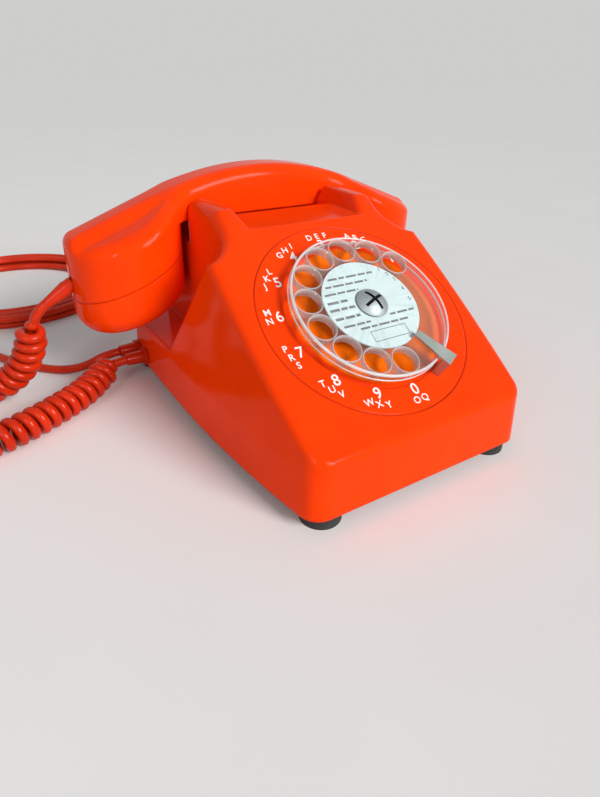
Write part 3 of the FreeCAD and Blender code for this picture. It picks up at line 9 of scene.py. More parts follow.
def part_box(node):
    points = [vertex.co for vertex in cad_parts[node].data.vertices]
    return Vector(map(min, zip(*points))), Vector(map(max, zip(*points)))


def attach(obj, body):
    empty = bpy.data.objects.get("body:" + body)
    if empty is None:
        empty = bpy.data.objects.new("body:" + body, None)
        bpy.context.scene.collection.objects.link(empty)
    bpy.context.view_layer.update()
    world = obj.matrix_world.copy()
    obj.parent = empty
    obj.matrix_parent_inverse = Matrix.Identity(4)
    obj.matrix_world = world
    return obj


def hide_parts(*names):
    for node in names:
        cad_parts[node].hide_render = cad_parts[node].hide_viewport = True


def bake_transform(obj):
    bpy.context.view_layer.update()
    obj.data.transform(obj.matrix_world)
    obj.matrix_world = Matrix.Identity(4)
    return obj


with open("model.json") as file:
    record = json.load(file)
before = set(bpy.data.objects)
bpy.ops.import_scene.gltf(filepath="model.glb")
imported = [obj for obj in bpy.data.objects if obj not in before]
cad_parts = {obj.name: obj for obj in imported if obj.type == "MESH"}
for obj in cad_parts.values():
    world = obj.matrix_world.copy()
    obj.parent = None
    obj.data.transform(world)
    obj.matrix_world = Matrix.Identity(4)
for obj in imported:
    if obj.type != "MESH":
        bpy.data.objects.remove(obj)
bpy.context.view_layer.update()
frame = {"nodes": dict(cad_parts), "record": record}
nodes = frame["nodes"]
scene = bpy.context.scene
scene.view_settings.view_transform = "Standard"
print("frame:", len(nodes), "nodes")


# camera, set where the picture was taken from
camera = {
    "place": (-0.16094, -0.23394, 0.17131),
    "yaw": 33.32,
    "pitchDown": 31.43,
    "roll": -1.76,
    "focalPixels": 560.5,
    "longSide": 797,
    "sensorWidth": 36,
    "clip": (0.01, 20),
}


def makeCamera(spec):
    yaw, pitch, roll = (math.radians(spec[k]) for k in ("yaw", "pitchDown", "roll"))
    ahead = Vector((math.sin(yaw) * math.cos(pitch), math.cos(yaw) * math.cos(pitch), -math.sin(pitch)))
    right = Vector((math.cos(yaw), -math.sin(yaw), 0))
    down = ahead.cross(right)
    across = right * math.cos(roll) + down * math.sin(roll)
    up = right * math.sin(roll) - down * math.cos(roll)
    turn = Matrix((across, up, -ahead)).transposed().to_4x4()
    data = bpy.data.cameras.new("camera")
    data.sensor_width = spec["sensorWidth"]
    data.lens = spec["focalPixels"] * data.sensor_width / spec["longSide"]
    data.clip_start, data.clip_end = spec["clip"]
    eye = bpy.data.objects.new("camera", data)
    scene.collection.objects.link(eye)
    eye.matrix_world = Matrix.Translation(spec["place"]) @ turn
    scene.camera = eye


makeCamera(camera)
print("camera: lens", round(scene.camera.data.lens, 2))


# mesh helpers
def addPiece(name, data):
    piece = bpy.data.objects.new(name, data)
    scene.collection.objects.link(piece)
    return piece


def ease(value, low, high):
    share = min(max((value - low) / (high - low), 0.0), 1.0)
    return share * share * (3 - 2 * share)


def nurbsCurve(name, points):
    curve = bpy.data.curves.new(name, "CURVE")
    curve.dimensions = "3D"
    curve.resolution_u = 10
    spline = curve.splines.new("NURBS")
    spline.points.add(len(points) - 1)
    for knot, point in zip(spline.points, points):
        knot.co = (*point, 1)
    spline.order_u = 3          # set after the points, or the line stays straight
    spline.use_endpoint_u = True
    return curve


def curveLine(points):
    route = addPiece("routeLine", nurbsCurve("routeLine", points))
    mesh = bpy.data.meshes.new_from_object(route)
    line = [v.co.copy() for v in mesh.vertices]
    bpy.data.objects.remove(route)
    bpy.data.meshes.remove(mesh)
    return line


def evenSteps(line, step):
    travel = [0.0]
    for a, b in zip(line, line[1:]):
        travel.append(travel[-1] + (b - a).length)
    count = round(travel[-1] / step)
    spots, k = [], 0
    for i in range(count + 1):
        goal = travel[-1] * i / count
        while k < len(line) - 2 and travel[k + 1] < goal:
            k += 1
        share = (goal - travel[k]) / max(travel[k + 1] - travel[k], 1e-9)
        spots.append((goal, line[k].lerp(line[k + 1], share), (line[k + 1] - line[k]).normalized()))
    return spots, travel[-1]


def tubeMesh(name, path, radius, sides):
    mesh = bmesh.new()
    side = Vector((0, 0, 1))
    rings = []
    for i, point in enumerate(path):
        ahead = (path[min(i + 1, len(path) - 1)] - path[max(i - 1, 0)]).normalized()
        side = (side - ahead * side.dot(ahead)).normalized()
        other = ahead.cross(side)
        ring = []
        for k in range(sides):
            turn = 2 * math.pi * k / sides
            ring.append(mesh.verts.new(point + (side * math.cos(turn) + other * math.sin(turn)) * radius))
        rings.append(ring)
    for a, b in zip(rings, rings[1:]):
        for k in range(sides):
            mesh.faces.new((a[k], a[(k + 1) % sides], b[(k + 1) % sides], b[k]))
    mesh.faces.new(rings[0][::-1])
    mesh.faces.new(rings[-1])
    data = bpy.data.meshes.new(name)
    mesh.to_mesh(data)
    mesh.free()
    data.shade_smooth()
    return data


# curly handset cord, from its gland round to the mouthpiece
curlyCord = {
    "wire": 0.0052,
    "across": 0.0166,
    "pitch": 0.0063,
    "leadIn": 1.0,      # turns before the curls open
    "leadOut": 2.0,
    "ramp": 1.5,
    "perTurn": 20,
    "sides": 14,
    "route": [
        (-0.08525, 0.0715, 0.0132),
        (-0.09425, 0.0715, 0.0132),
        (-0.104, 0.0645, 0.0096),
        (-0.1145, 0.0545, 0.0084),
        (-0.130, 0.0445, 0.0084),
        (-0.147, 0.0355, 0.0084),
        (-0.165, 0.0285, 0.0084),
        (-0.1835, 0.0295, 0.0084),
        (-0.198, 0.0395, 0.0084),
        (-0.203, 0.056, 0.0084),
        (-0.197, 0.0725, 0.0084),
        (-0.182, 0.082, 0.0084),
        (-0.166, 0.082, 0.0084),
        (-0.152, 0.0795, 0.011),
        (-0.1425, 0.0755, 0.019),
        (-0.136, 0.072, 0.030),
        (-0.1325, 0.069, 0.043),
        (-0.12901, 0.0645, 0.05515),
        (-0.12301, 0.0645, 0.05876),
    ],
}


def makeCurlyCord(spec):
    pitch = spec["pitch"]
    spots, total = evenSteps(curveLine(spec["route"]), pitch / spec["perTurn"])
    full = (spec["across"] - spec["wire"]) / 2
    side = Vector((0, 0, 1))
    path = []
    for travel, point, ahead in spots:
        side = (side - ahead * side.dot(ahead)).normalized()
        opening = (travel - spec["leadIn"] * pitch) / (spec["ramp"] * pitch)
        closing = (total - spec["leadOut"] * pitch - travel) / (spec["ramp"] * pitch)
        reach = full * ease(min(opening, closing), 0, 1)
        turn = 2 * math.pi * travel / pitch
        path.append(point + (side * math.cos(turn) + ahead.cross(side) * math.sin(turn)) * reach)
    cord = addPiece("curlyCord", tubeMesh("curlyCord", path, spec["wire"] / 2, spec["sides"]))
    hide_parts("handset_cord")
    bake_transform(cord)
    return cord


curlyPiece = makeCurlyCord(curlyCord)


# line cord: out of its gland, along the table and into a loose coil behind the telephone
lineCord = {
    "wire": 0.005,
    "rest": 0.0026,
    "route": [
        (-0.08525, 0.0845, 0.0132),
        (-0.09425, 0.0845, 0.0132),
        (-0.106, 0.089, 0.006),
        (-0.119, 0.098, 0.0026),
        (-0.134, 0.113, 0.0026),
        (-0.148, 0.134, 0.0026),
        (-0.158, 0.158, 0.0026),
        (-0.170, 0.182, 0.0026),
    ],
    "coilCentre": (-0.120, 0.255),
    "coilAcross": 0.156,
    "coilStep": 0.0072,
    "coilClimb": 0.0056,
    "coilTurns": 5,
    "startTurn": 200,
    "extraTurn": 50,
    "perTurn": 24,
    "sides": 12,
    "entryLead": 0.027,     # straight run into the coil
    "plugLead": 0.052,
}


def coilSpot(spec, share):
    sweep = 2 * math.pi * spec["coilTurns"] + math.radians(spec["extraTurn"])
    turn = math.radians(spec["startTurn"]) - share * sweep
    inward = min(share, 1 - share) / 0.5
    radius = spec["coilAcross"] / 2 - spec["coilStep"] * spec["coilTurns"] / 2 * inward
    climb = ease((share - 0.5) * spec["coilTurns"] * 2 + 0.5, 0, 1)
    x, y = spec["coilCentre"]
    height = spec["rest"] + spec["coilClimb"] * climb
    return Vector((x + radius * math.cos(turn), y + radius * math.sin(turn), height))


def makeLineCord(spec):
    count = spec["coilTurns"] * spec["perTurn"]
    coil = [coilSpot(spec, i / count) for i in range(count + 1)]
    nudge = 1e-4                # a short way along the coil, for its direction
    arriving = (coilSpot(spec, nudge) - coil[0]).normalized()
    leaving = (coil[-1] - coilSpot(spec, 1 - nudge)).normalized()
    entry = coil[0] - arriving * spec["wire"]
    points = [Vector(p) for p in spec["route"]]
    points += [entry - arriving * spec["entryLead"], entry]
    points += coil
    points += [coil[-1] + leaving * spec["plugLead"] / 2, coil[-1] + leaving * spec["plugLead"]]
    line = curveLine(points)
    cord = addPiece("lineCord", tubeMesh("lineCord", line, spec["wire"] / 2, spec["sides"]))
    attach(cord, "base")
    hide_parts("line_cord", "line_coil")
    return cord


linePiece = makeLineCord(lineCord)


# node helpers
noiseLow, noiseHigh = 0.3, 0.7      # most of a noise lies between these


def newMaterial(name):
    material = bpy.data.materials.new(name)
    material.use_nodes = True
    tree = material.node_tree
    return material, tree, tree.nodes["Principled BSDF"]


def addNode(tree, kind, **settings):
    node = tree.nodes.new(kind)
    for key, value in settings.items():
        setattr(node, key, value)
    return node


def objectPlace(tree):
    return addNode(tree, "ShaderNodeTexCoord").outputs["Object"]


def noiseOf(tree, place, scale, detail=3.0, roughness=0.5):
    noise = addNode(tree, "ShaderNodeTexNoise")
    noise.inputs["Scale"].default_value = scale
    noise.inputs["Detail"].default_value = detail
    noise.inputs["Roughness"].default_value = roughness
    tree.links.new(place, noise.inputs["Vector"])
    return noise.outputs["Fac"]


def grainOf(tree, place, scale):
    return noiseOf(tree, place, scale, detail=4.0, roughness=0.6)


def spread(tree, value, low, high, fromLow=noiseLow, fromHigh=noiseHigh):
    node = addNode(tree, "ShaderNodeMapRange")
    for key, number in (("From Min", fromLow), ("From Max", fromHigh), ("To Min", low), ("To Max", high)):
        node.inputs[key].default_value = number
    tree.links.new(value, node.inputs["Value"])
    return node.outputs["Result"]


def twoColours(tree, value, dark, light):
    ramp = addNode(tree, "ShaderNodeValToRGB")
    ramp.color_ramp.elements[0].position = noiseLow
    ramp.color_ramp.elements[0].color = (*dark, 1)
    ramp.color_ramp.elements[1].position = noiseHigh
    ramp.color_ramp.elements[1].color = (*light, 1)
    tree.links.new(value, ramp.inputs["Fac"])
    return ramp.outputs["Color"]


def bumpOf(tree, value, strength, distance, edge=0.0, flat=False):
    bump = addNode(tree, "ShaderNodeBump")
    if flat:                    # a level sheet takes its light from its true faces
        tree.links.new(addNode(tree, "ShaderNodeNewGeometry").outputs["True Normal"], bump.inputs["Normal"])
    bump.inputs["Strength"].default_value = strength
    bump.inputs["Distance"].default_value = distance
    tree.links.new(value, bump.inputs["Height"])
    if edge:                    # rounds the sharp corners in the light only
        bevel = addNode(tree, "ShaderNodeBevel")
        bevel.samples = 6
        bevel.inputs["Radius"].default_value = edge
        tree.links.new(bevel.outputs["Normal"], bump.inputs["Normal"])
    return bump.outputs["Normal"]


def finishMaterial(name, spec):
    material, tree, shader = newMaterial(name)
    place = objectPlace(tree)
    broad = noiseOf(tree, place, spec["broad"])
    fine = grainOf(tree, place, spec["fine"])
    tree.links.new(twoColours(tree, broad, spec["dark"], spec["light"]), shader.inputs["Base Color"])
    low, high = spec["roughness"]
    tree.links.new(spread(tree, fine, low, high), shader.inputs["Roughness"])
    normal = bumpOf(tree, fine, spec["bump"], spec["bumpDepth"],
                    edge=spec.get("edge", 0.0), flat=spec.get("flat", False))
    tree.links.new(normal, shader.inputs["Normal"])
    shader.inputs["Metallic"].default_value = spec.get("metal", 0.0)
    shader.inputs["Specular IOR Level"].default_value = spec.get("specular", 0.5)
    return material


finishes = {
    "housingOrange": {"dark": (0.90, 0.043, 0.001), "light": (0.96, 0.050, 0.001), "broad": 40, "fine": 700,
                      "roughness": (0.10, 0.15), "bump": 0.03, "bumpDepth": 0.0002, "edge": 0.0016,
                      "specular": 0.065},
    "cordOrange": {"dark": (0.48, 0.018, 0.002), "light": (0.62, 0.030, 0.004), "broad": 60, "fine": 900,
                   "roughness": (0.20, 0.30), "bump": 0.06, "bumpDepth": 0.0002, "specular": 0.2},
    "whiteInk": {"dark": (0.82, 0.82, 0.80), "light": (0.90, 0.90, 0.88), "broad": 300, "fine": 1500,
                 "roughness": (0.35, 0.5), "bump": 0.05, "bumpDepth": 0.0001},
    "cardWhite": {"dark": (0.68, 0.80, 0.80), "light": (0.74, 0.85, 0.85), "broad": 90, "fine": 2500,
                  "roughness": (0.6, 0.8), "bump": 0.12, "bumpDepth": 0.0001, "flat": True},
    "greyInk": {"dark": (0.15, 0.16, 0.17), "light": (0.24, 0.25, 0.26), "broad": 400, "fine": 2500,
                "roughness": (0.6, 0.8), "bump": 0.05, "bumpDepth": 0.0001},
    "satinMetal": {"dark": (0.34, 0.38, 0.40), "light": (0.44, 0.48, 0.50), "broad": 90, "fine": 1200,
                   "roughness": (0.54, 0.64), "bump": 0.05, "bumpDepth": 0.0001, "edge": 0.0004,
                   "metal": 1.0},
    "brightMetal": {"dark": (0.41, 0.46, 0.43), "light": (0.51, 0.56, 0.52), "broad": 120, "fine": 1500,
                    "roughness": (0.38, 0.50), "bump": 0.05, "bumpDepth": 0.0001, "edge": 0.0004,
                    "metal": 1.0},
    "blackRubber": {"dark": (0.012, 0.012, 0.012), "light": (0.03, 0.03, 0.03), "broad": 120, "fine": 1800,
                    "roughness": (0.6, 0.85), "bump": 0.3, "bumpDepth": 0.0003, "edge": 0.0008},
    "blackEnamel": {"dark": (0.015, 0.015, 0.017), "light": (0.03, 0.03, 0.033), "broad": 60, "fine": 900,
                    "roughness": (0.3, 0.5), "bump": 0.1, "bumpDepth": 0.0002, "edge": 0.0005},
    "plainSteel": {"dark": (0.42, 0.43, 0.45), "light": (0.58, 0.59, 0.60), "broad": 90, "fine": 1200,
                   "roughness": (0.25, 0.42), "bump": 0.08, "bumpDepth": 0.0001, "metal": 1.0},
    "plainBrass": {"dark": (0.50, 0.33, 0.10), "light": (0.68, 0.48, 0.18), "broad": 80, "fine": 1200,
                   "roughness": (0.22, 0.4), "bump": 0.08, "bumpDepth": 0.0001, "metal": 1.0},
    "plainAluminium": {"dark": (0.60, 0.60, 0.61), "light": (0.74, 0.74, 0.75), "broad": 80, "fine": 1200,
                       "roughness": (0.3, 0.46), "bump": 0.08, "bumpDepth": 0.0001, "metal": 1.0},
    "blackMoulding": {"dark": (0.012, 0.012, 0.013), "light": (0.028, 0.028, 0.03), "broad": 80, "fine": 900,
                      "roughness": (0.4, 0.55), "bump": 0.15, "bumpDepth": 0.0002},
    "copperWinding": {"dark": (0.26, 0.07, 0.02), "light": (0.42, 0.13, 0.04), "broad": 200, "fine": 1800,
                      "roughness": (0.3, 0.45), "bump": 0.4, "bumpDepth": 0.0003, "metal": 0.8},
    "brownLaminate": {"dark": (0.14, 0.06, 0.02), "light": (0.22, 0.10, 0.035), "broad": 140, "fine": 1500,
                      "roughness": (0.45, 0.6), "bump": 0.1, "bumpDepth": 0.0001},
}
finish = {name: finishMaterial(name, spec) for name, spec in finishes.items()}


# clear mouldings let the light straight through, with a mirror skin and a little milk in the body; on the
# wheel's rim and hole sleeves the milk is thick white, partly real haze and partly painted highlight
clears = {
    "clearPlastic": {"tint": (0.93, 0.95, 0.95), "milkAndPaintedHighlight": 0.035, "roughness": (0.03, 0.07), "ior": 1.49},
    # painted highlight: the thick milk of clearRim and clearEdge partly stands in for the glints on the
    # wheel's edges
    "clearRim": {"tint": (0.92, 0.94, 0.94), "milkAndPaintedHighlight": 0.32, "roughness": (0.06, 0.12), "ior": 1.6},
    "clearEdge": {"tint": (0.94, 0.95, 0.95), "milkAndPaintedHighlight": 0.50, "roughness": (0.08, 0.14), "ior": 1.7},
    "clearCover": {"tint": (0.98, 0.99, 0.99), "milkAndPaintedHighlight": 0.0, "roughness": (0.04, 0.08), "ior": 1.2,
                   "flat": True},
}
clearGrain = {"broad": 50, "fine": 500, "bump": 0.03, "bumpDepth": 0.0002, "darker": 0.97}


def clearMaterial(name, spec, grain):
    material, tree, shader = newMaterial(name)
    place = objectPlace(tree)
    fine = grainOf(tree, place, grain["fine"])
    normal = bumpOf(tree, fine, grain["bump"], grain["bumpDepth"], flat=spec.get("flat", False))
    low, high = spec["roughness"]
    rough = spread(tree, fine, low, high)
    tint = spec["tint"]
    through = addNode(tree, "ShaderNodeBsdfTransparent")
    colour = twoColours(tree, noiseOf(tree, place, grain["broad"]), [c * grain["darker"] for c in tint], tint)
    tree.links.new(colour, through.inputs["Color"])
    tree.links.new(colour, shader.inputs["Base Color"])
    mirror = addNode(tree, "ShaderNodeBsdfGlossy")
    edge = addNode(tree, "ShaderNodeFresnel")
    edge.inputs["IOR"].default_value = spec["ior"]
    for node in (mirror, shader):
        tree.links.new(rough, node.inputs["Roughness"])
    for node in (mirror, shader, edge):
        tree.links.new(normal, node.inputs["Normal"])
    side = addNode(tree, "ShaderNodeNewGeometry")
    front = addNode(tree, "ShaderNodeMath", operation="SUBTRACT")
    front.inputs[0].default_value = 1
    tree.links.new(side.outputs["Backfacing"], front.inputs[1])
    outer = addNode(tree, "ShaderNodeMath", operation="MULTIPLY")   # only the outside mirrors
    tree.links.new(edge.outputs["Fac"], outer.inputs[0])
    tree.links.new(front.outputs["Value"], outer.inputs[1])
    skin = addNode(tree, "ShaderNodeMixShader")
    tree.links.new(outer.outputs["Value"], skin.inputs[0])
    tree.links.new(through.outputs["BSDF"], skin.inputs[1])
    tree.links.new(mirror.outputs["BSDF"], skin.inputs[2])
    # white mixed into the body: haze, and on the rim and edge pieces partly painted highlight
    body = addNode(tree, "ShaderNodeMixShader")
    body.inputs[0].default_value = spec["milkAndPaintedHighlight"]
    tree.links.new(skin.outputs["Shader"], body.inputs[1])
    tree.links.new(shader.outputs["BSDF"], body.inputs[2])
    tree.links.new(body.outputs["Shader"], tree.nodes["Material Output"].inputs["Surface"])
    return material


finish.update({name: clearMaterial(name, spec, clearGrain) for name, spec in clears.items()})


# face plate: orange, and yellower where the wheel's light falls through on the dish
dialPlate = {"centre": (0, -0.04293, 0.06808), "tilt": 32.36,
             "dishCentre": (0.0016, -0.0421, 0.0686), "dishEdge": 0.0382, "dishBlend": 0.0012, "mottle": 60,
             "dishDark": (0.90, 0.130, 0.003), "dishLight": (0.96, 0.165, 0.004)}
dialFrame = Matrix.Translation(dialPlate["centre"]) @ Matrix.Rotation(math.radians(dialPlate["tilt"]), 4, "X")


def dialPlateMaterial(spec):
    material = finish["housingOrange"].copy()
    material.name = "dialPlateOrange"
    tree = material.node_tree
    shader = tree.nodes["Principled BSDF"]
    rim = shader.inputs["Base Color"].links[0].from_socket
    place = objectPlace(tree)
    shift = addNode(tree, "ShaderNodeVectorMath", operation="SUBTRACT")
    tree.links.new(place, shift.inputs[0])
    shift.inputs[1].default_value = spec["dishCentre"]
    far = addNode(tree, "ShaderNodeVectorMath", operation="LENGTH")
    tree.links.new(shift.outputs["Vector"], far.inputs[0])
    edge = spec["dishEdge"]
    inside = spread(tree, far.outputs["Value"], 1.0, 0.0, edge, edge + spec["dishBlend"])
    dish = twoColours(tree, noiseOf(tree, place, spec["mottle"]), spec["dishDark"], spec["dishLight"])
    mix = addNode(tree, "ShaderNodeMix", data_type="RGBA")
    tree.links.new(inside, mix.inputs["Factor"])
    tree.links.new(rim, mix.inputs["A"])
    tree.links.new(dish, mix.inputs["B"])
    tree.links.new(mix.outputs["Result"], shader.inputs["Base Color"])
    return material


finish["dialPlateOrange"] = dialPlateMaterial(dialPlate)


# centre cap: satin metal, with painted shade drawn dark along the cross slot
capCross = {"spin": 20, "halfWidth": 0.00074, "arm": 0.0056, "blur": 0.00008, "paintedSlotShade": (0.02, 0.02, 0.02)}


def capMaterial(spec):
    material = finish["satinMetal"].copy()
    material.name = "capMetal"
    tree = material.node_tree
    shader = tree.nodes["Principled BSDF"]
    bare = shader.inputs["Base Color"].links[0].from_socket
    flat = objectPlace(tree)
    for axis, turn in (("X_AXIS", dialPlate["tilt"]), ("Z_AXIS", spec["spin"])):
        back = addNode(tree, "ShaderNodeVectorRotate", rotation_type=axis)
        back.inputs["Center"].default_value = dialPlate["centre"]
        back.inputs["Angle"].default_value = -math.radians(turn)
        tree.links.new(flat, back.inputs["Vector"])
        flat = back.outputs["Vector"]
    shift = addNode(tree, "ShaderNodeVectorMath", operation="SUBTRACT")
    shift.inputs[1].default_value = dialPlate["centre"]
    tree.links.new(flat, shift.inputs[0])
    size = addNode(tree, "ShaderNodeVectorMath", operation="ABSOLUTE")
    tree.links.new(shift.outputs["Vector"], size.inputs[0])
    split = addNode(tree, "ShaderNodeSeparateXYZ")
    tree.links.new(size.outputs["Vector"], split.inputs["Vector"])
    masks = []
    for operation, limit in (("MINIMUM", spec["halfWidth"]), ("MAXIMUM", spec["arm"])):
        pick = addNode(tree, "ShaderNodeMath", operation=operation)
        tree.links.new(split.outputs["X"], pick.inputs[0])
        tree.links.new(split.outputs["Y"], pick.inputs[1])
        masks.append(spread(tree, pick.outputs["Value"], 1.0, 0.0, limit, limit + spec["blur"]))
    both = addNode(tree, "ShaderNodeMath", operation="MULTIPLY")
    for mask, socket in zip(masks, both.inputs):
        tree.links.new(mask, socket)
    mix = addNode(tree, "ShaderNodeMix", data_type="RGBA")
    # painted shade: the cross slot is filled with a near-black colour
    mix.inputs["B"].default_value = (*spec["paintedSlotShade"], 1)
    tree.links.new(both.outputs["Value"], mix.inputs["Factor"])
    tree.links.new(bare, mix.inputs["A"])
    tree.links.new(mix.outputs["Result"], shader.inputs["Base Color"])
    return material


finish["capMetal"] = capMaterial(capCross)
slotFinish = {
    "housing": "housingOrange", "dial_face": "dialPlateOrange", "clear_plastic": "clearPlastic",
    "card": "cardWhite", "satin_metal": "satinMetal", "bright_metal": "brightMetal", "cord": "cordOrange",
    "rubber": "blackRubber", "base_metal": "blackEnamel", "steel": "plainSteel", "brass": "plainBrass",
    "aluminium": "plainAluminium", "inner_plastic": "blackMoulding", "winding": "copperWinding",
    "board": "brownLaminate",
}


def dress(piece, name):
    piece.data.materials.clear()
    piece.data.materials.append(finish[name])


for part in frame["record"]["subparts"]:
    dress(nodes[part["node"]], slotFinish[part["material_slot"]])
dress(nodes["card_cover"], "clearCover")
dress(nodes["centre_cap"], "capMetal")
dress(curlyPiece, "cordOrange")
dress(linePiece, "cordOrange")
print("finishes:", len(finish))


# mouldings that keep the solid's own shape, softened where the real one is
def soften(name, node, cuts, drop, lowest=0.0):
    mesh = bmesh.new()
    mesh.from_mesh(nodes[node].data)
    for spot, across in cuts:
        faces = [f for f in mesh.faces if max(v.co.z for v in f.verts) > lowest]
        edges = {e for f in faces for e in f.edges}
        verts = {v for f in faces for v in f.verts}
        bmesh.ops.bisect_plane(mesh, geom=[*verts, *edges, *faces], plane_co=spot, plane_no=across)
    for vert in mesh.verts:
        vert.co.z -= drop(*vert.co)
    bmesh.ops.triangulate(mesh, faces=mesh.faces[:])
    data = bpy.data.meshes.new(name)
    mesh.to_mesh(data)
    mesh.free()
    data.shade_smooth()
    normals = [Vector() for _ in data.vertices]
    for face in data.polygons:      # the larger faces lead, so that flat walls stay flat in the light
        for corner in face.vertices:
            normals[corner] += face.normal * face.area
    data.normals_split_custom_set_from_vertices([normal.normalized() for normal in normals])
    piece = addPiece(name, data)
    dress(piece, "housingOrange")
    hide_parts(node)
    print(name + ":", len(data.polygons), "faces")
    return piece


# handset: the handle is left standing as a ridge over each cup
handset = {
    "middle": 0.0645,       # the handset's long axis
    "cupPlace": 0.0791,
    "seamHeight": 0.0705,
    "seamSlope": 0.3839,
    "cupHeight": 0.031,
    "flare": (0.041, 0.077),
    "ridge": (0.0060, 0.0135),
    "ridgeDrop": 0.0052,
    "dome": (0.014, 0.030),
    "domeDrop": 0.0030,
    "earShare": 0.5,        # the earpiece cup stands fuller than the mouthpiece cup
    "step": 0.0024,
}


def makeHandset(spec):
    low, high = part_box("handset_handle")
    cuts = []
    for axis in (0, 1):
        count = int((high[axis] - low[axis]) / spec["step"])
        for k in range(1, count):
            spot = Vector((0, 0, 0))
            spot[axis] = low[axis] + (high[axis] - low[axis]) * k / count
            if axis == 1 or abs(spot.x) > spec["flare"][0]:
                cuts.append((spot, Vector((1 - axis, axis, 0))))

    def crown(x, y, z):
        off = abs(y - spec["middle"])
        near, far = spec["dome"]
        drop = spec["ridgeDrop"] * ease(off, *spec["ridge"])
        drop += spec["domeDrop"] * min(max((off - near) / (far - near), 0.0), 1.0) ** 2
        seam = spec["seamHeight"] - spec["seamSlope"] * (abs(x) - spec["cupPlace"])
        height = min(max((z - seam) / spec["cupHeight"], 0.0), 1.0)
        return drop * height * ease(abs(x), *spec["flare"]) * (spec["earShare"] if x > 0 else 1)

    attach(soften("handsetMoulding", "handset_handle", cuts, crown), "handset")


makeHandset(handset)


# housing: the outer shoulders of the four cradle horns are rounded over
horns = {"outer": 0.0484, "round": 0.0065, "foot": 0.0960, "top": 0.1072, "steps": 9}


def makeHousing(spec):
    cuts = []
    for k in range(1, spec["steps"] + 1):
        x = spec["outer"] - spec["round"] * k / spec["steps"]
        cuts += [(Vector((side * x, 0, 0)), Vector((1, 0, 0))) for side in (-1, 1)]

    def shoulder(x, y, z):
        inside = min(max(spec["round"] - spec["outer"] + abs(x), 0.0), spec["round"])
        drop = spec["round"] - math.sqrt(spec["round"] ** 2 - inside ** 2)
        return drop * min(max((z - spec["foot"]) / (spec["top"] - spec["foot"]), 0.0), 1.0)

    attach(soften("housingShell", "shell", cuts, shoulder, spec["foot"]), "base")


makeHousing(horns)


# numbers and letters printed on the face plate
inkThick = 0.00004
dialPrint = {
    "numberSize": 0.0078,
    "letterSize": 0.0047,
    "numberCircle": 0.0437,
    "letterCircle": 0.0490,
    "letterStep": 5.5,      # degrees between letters of a group
    "numberBold": 0.00007,
    "letterBold": 0.00005,
    "lift": 0.00005,        # middle of the ink above the plate
    "first": 39.7,
    "pitch": 25.9,
    "groups": [("1", ""), ("2", "ABC"), ("3", "DEF"), ("4", "GHI"), ("5", "JKL"), ("6", "MN"),
               ("7", "PRS"), ("8", "TUV"), ("9", "WXY"), ("0", "OQ")],
    "readsUp": "2345",      # groups whose letters run clockwise
}


def printText(mesh, body, size, spot, bold):
    text = bpy.data.curves.new("print", "FONT")
    text.body = body
    text.size = size
    text.align_x = "CENTER"
    text.align_y = "CENTER"
    text.extrude = inkThick
    text.offset = bold
    piece = addPiece("print", text)
    shape = bpy.data.meshes.new_from_object(piece)
    shape.transform(dialFrame @ Matrix.Translation(spot))
    mesh.from_mesh(shape)
    bpy.data.objects.remove(piece)
    bpy.data.meshes.remove(shape)


def finishMesh(name, mesh, material, body):
    data = bpy.data.meshes.new(name)
    mesh.to_mesh(data)
    mesh.free()
    piece = addPiece(name, data)
    dress(piece, material)
    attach(piece, body)
    return piece


def ringSpot(circle, turn, height):
    at = math.radians(turn)
    return circle * math.cos(at), circle * math.sin(at), height


def makeDialPrint(spec):
    mesh = bmesh.new()
    for i, (number, letters) in enumerate(spec["groups"]):
        turn = spec["first"] + spec["pitch"] * i
        spot = ringSpot(spec["numberCircle"], turn, spec["lift"])
        printText(mesh, number, spec["numberSize"], spot, spec["numberBold"])
        way = -1 if number in spec["readsUp"] else 1
        for k, letter in enumerate(letters):
            aside = way * (k - (len(letters) - 1) / 2) * spec["letterStep"]
            spot = ringSpot(spec["letterCircle"], turn + aside, spec["lift"])
            printText(mesh, letter, spec["letterSize"], spot, spec["letterBold"])
    finishMesh("dialPrint", mesh, "whiteInk", "base")


makeDialPrint(dialPrint)
print("dial print: done")


# bright sleeves in the finger holes and the rounded corners of the wheel's edge; their brightness is partly
# painted highlight
wheelTrim = {
    "holeCircle": 0.032,
    "firstHole": 37.34,
    "pitch": 25.714,
    "holes": 10,
    "top": 0.0083,
    "sleeve": [(0.0063, -0.0039), (0.0063, -0.0004), (0.0065, 0.0002), (0.0068, 0.0004), (0.0071, 0.0000),
               (0.0066, -0.0005), (0.0065, -0.0039)],
    "sleeveSides": 40,
    "beadSides": 120,
    "beads": [              # radius and height of the two rounded corners of the edge
        [(0.0386, 0.0000), (0.0389, 0.0003), (0.0394, 0.0003), (0.0398, -0.0001), (0.0399, -0.0007),
         (0.0395, -0.0009)],
        [(0.0393, -0.0042), (0.0398, -0.0041), (0.0400, -0.0037), (0.0398, -0.0032), (0.0395, -0.0033)],
    ],
}


def sweepRing(mesh, centre, profile, sides):
    rings = []
    for k in range(sides):
        turn = 2 * math.pi * k / sides
        spoke = Vector((math.cos(turn), math.sin(turn), 0))
        spots = [Vector(centre) + spoke * radius + Vector((0, 0, rise)) for radius, rise in profile]
        rings.append([mesh.verts.new(dialFrame @ spot) for spot in spots])
    for k in range(sides):
        a, b = rings[k], rings[(k + 1) % sides]
        for i in range(len(profile)):
            j = (i + 1) % len(profile)
            mesh.faces.new((a[i], b[i], b[j], a[j])).smooth = True


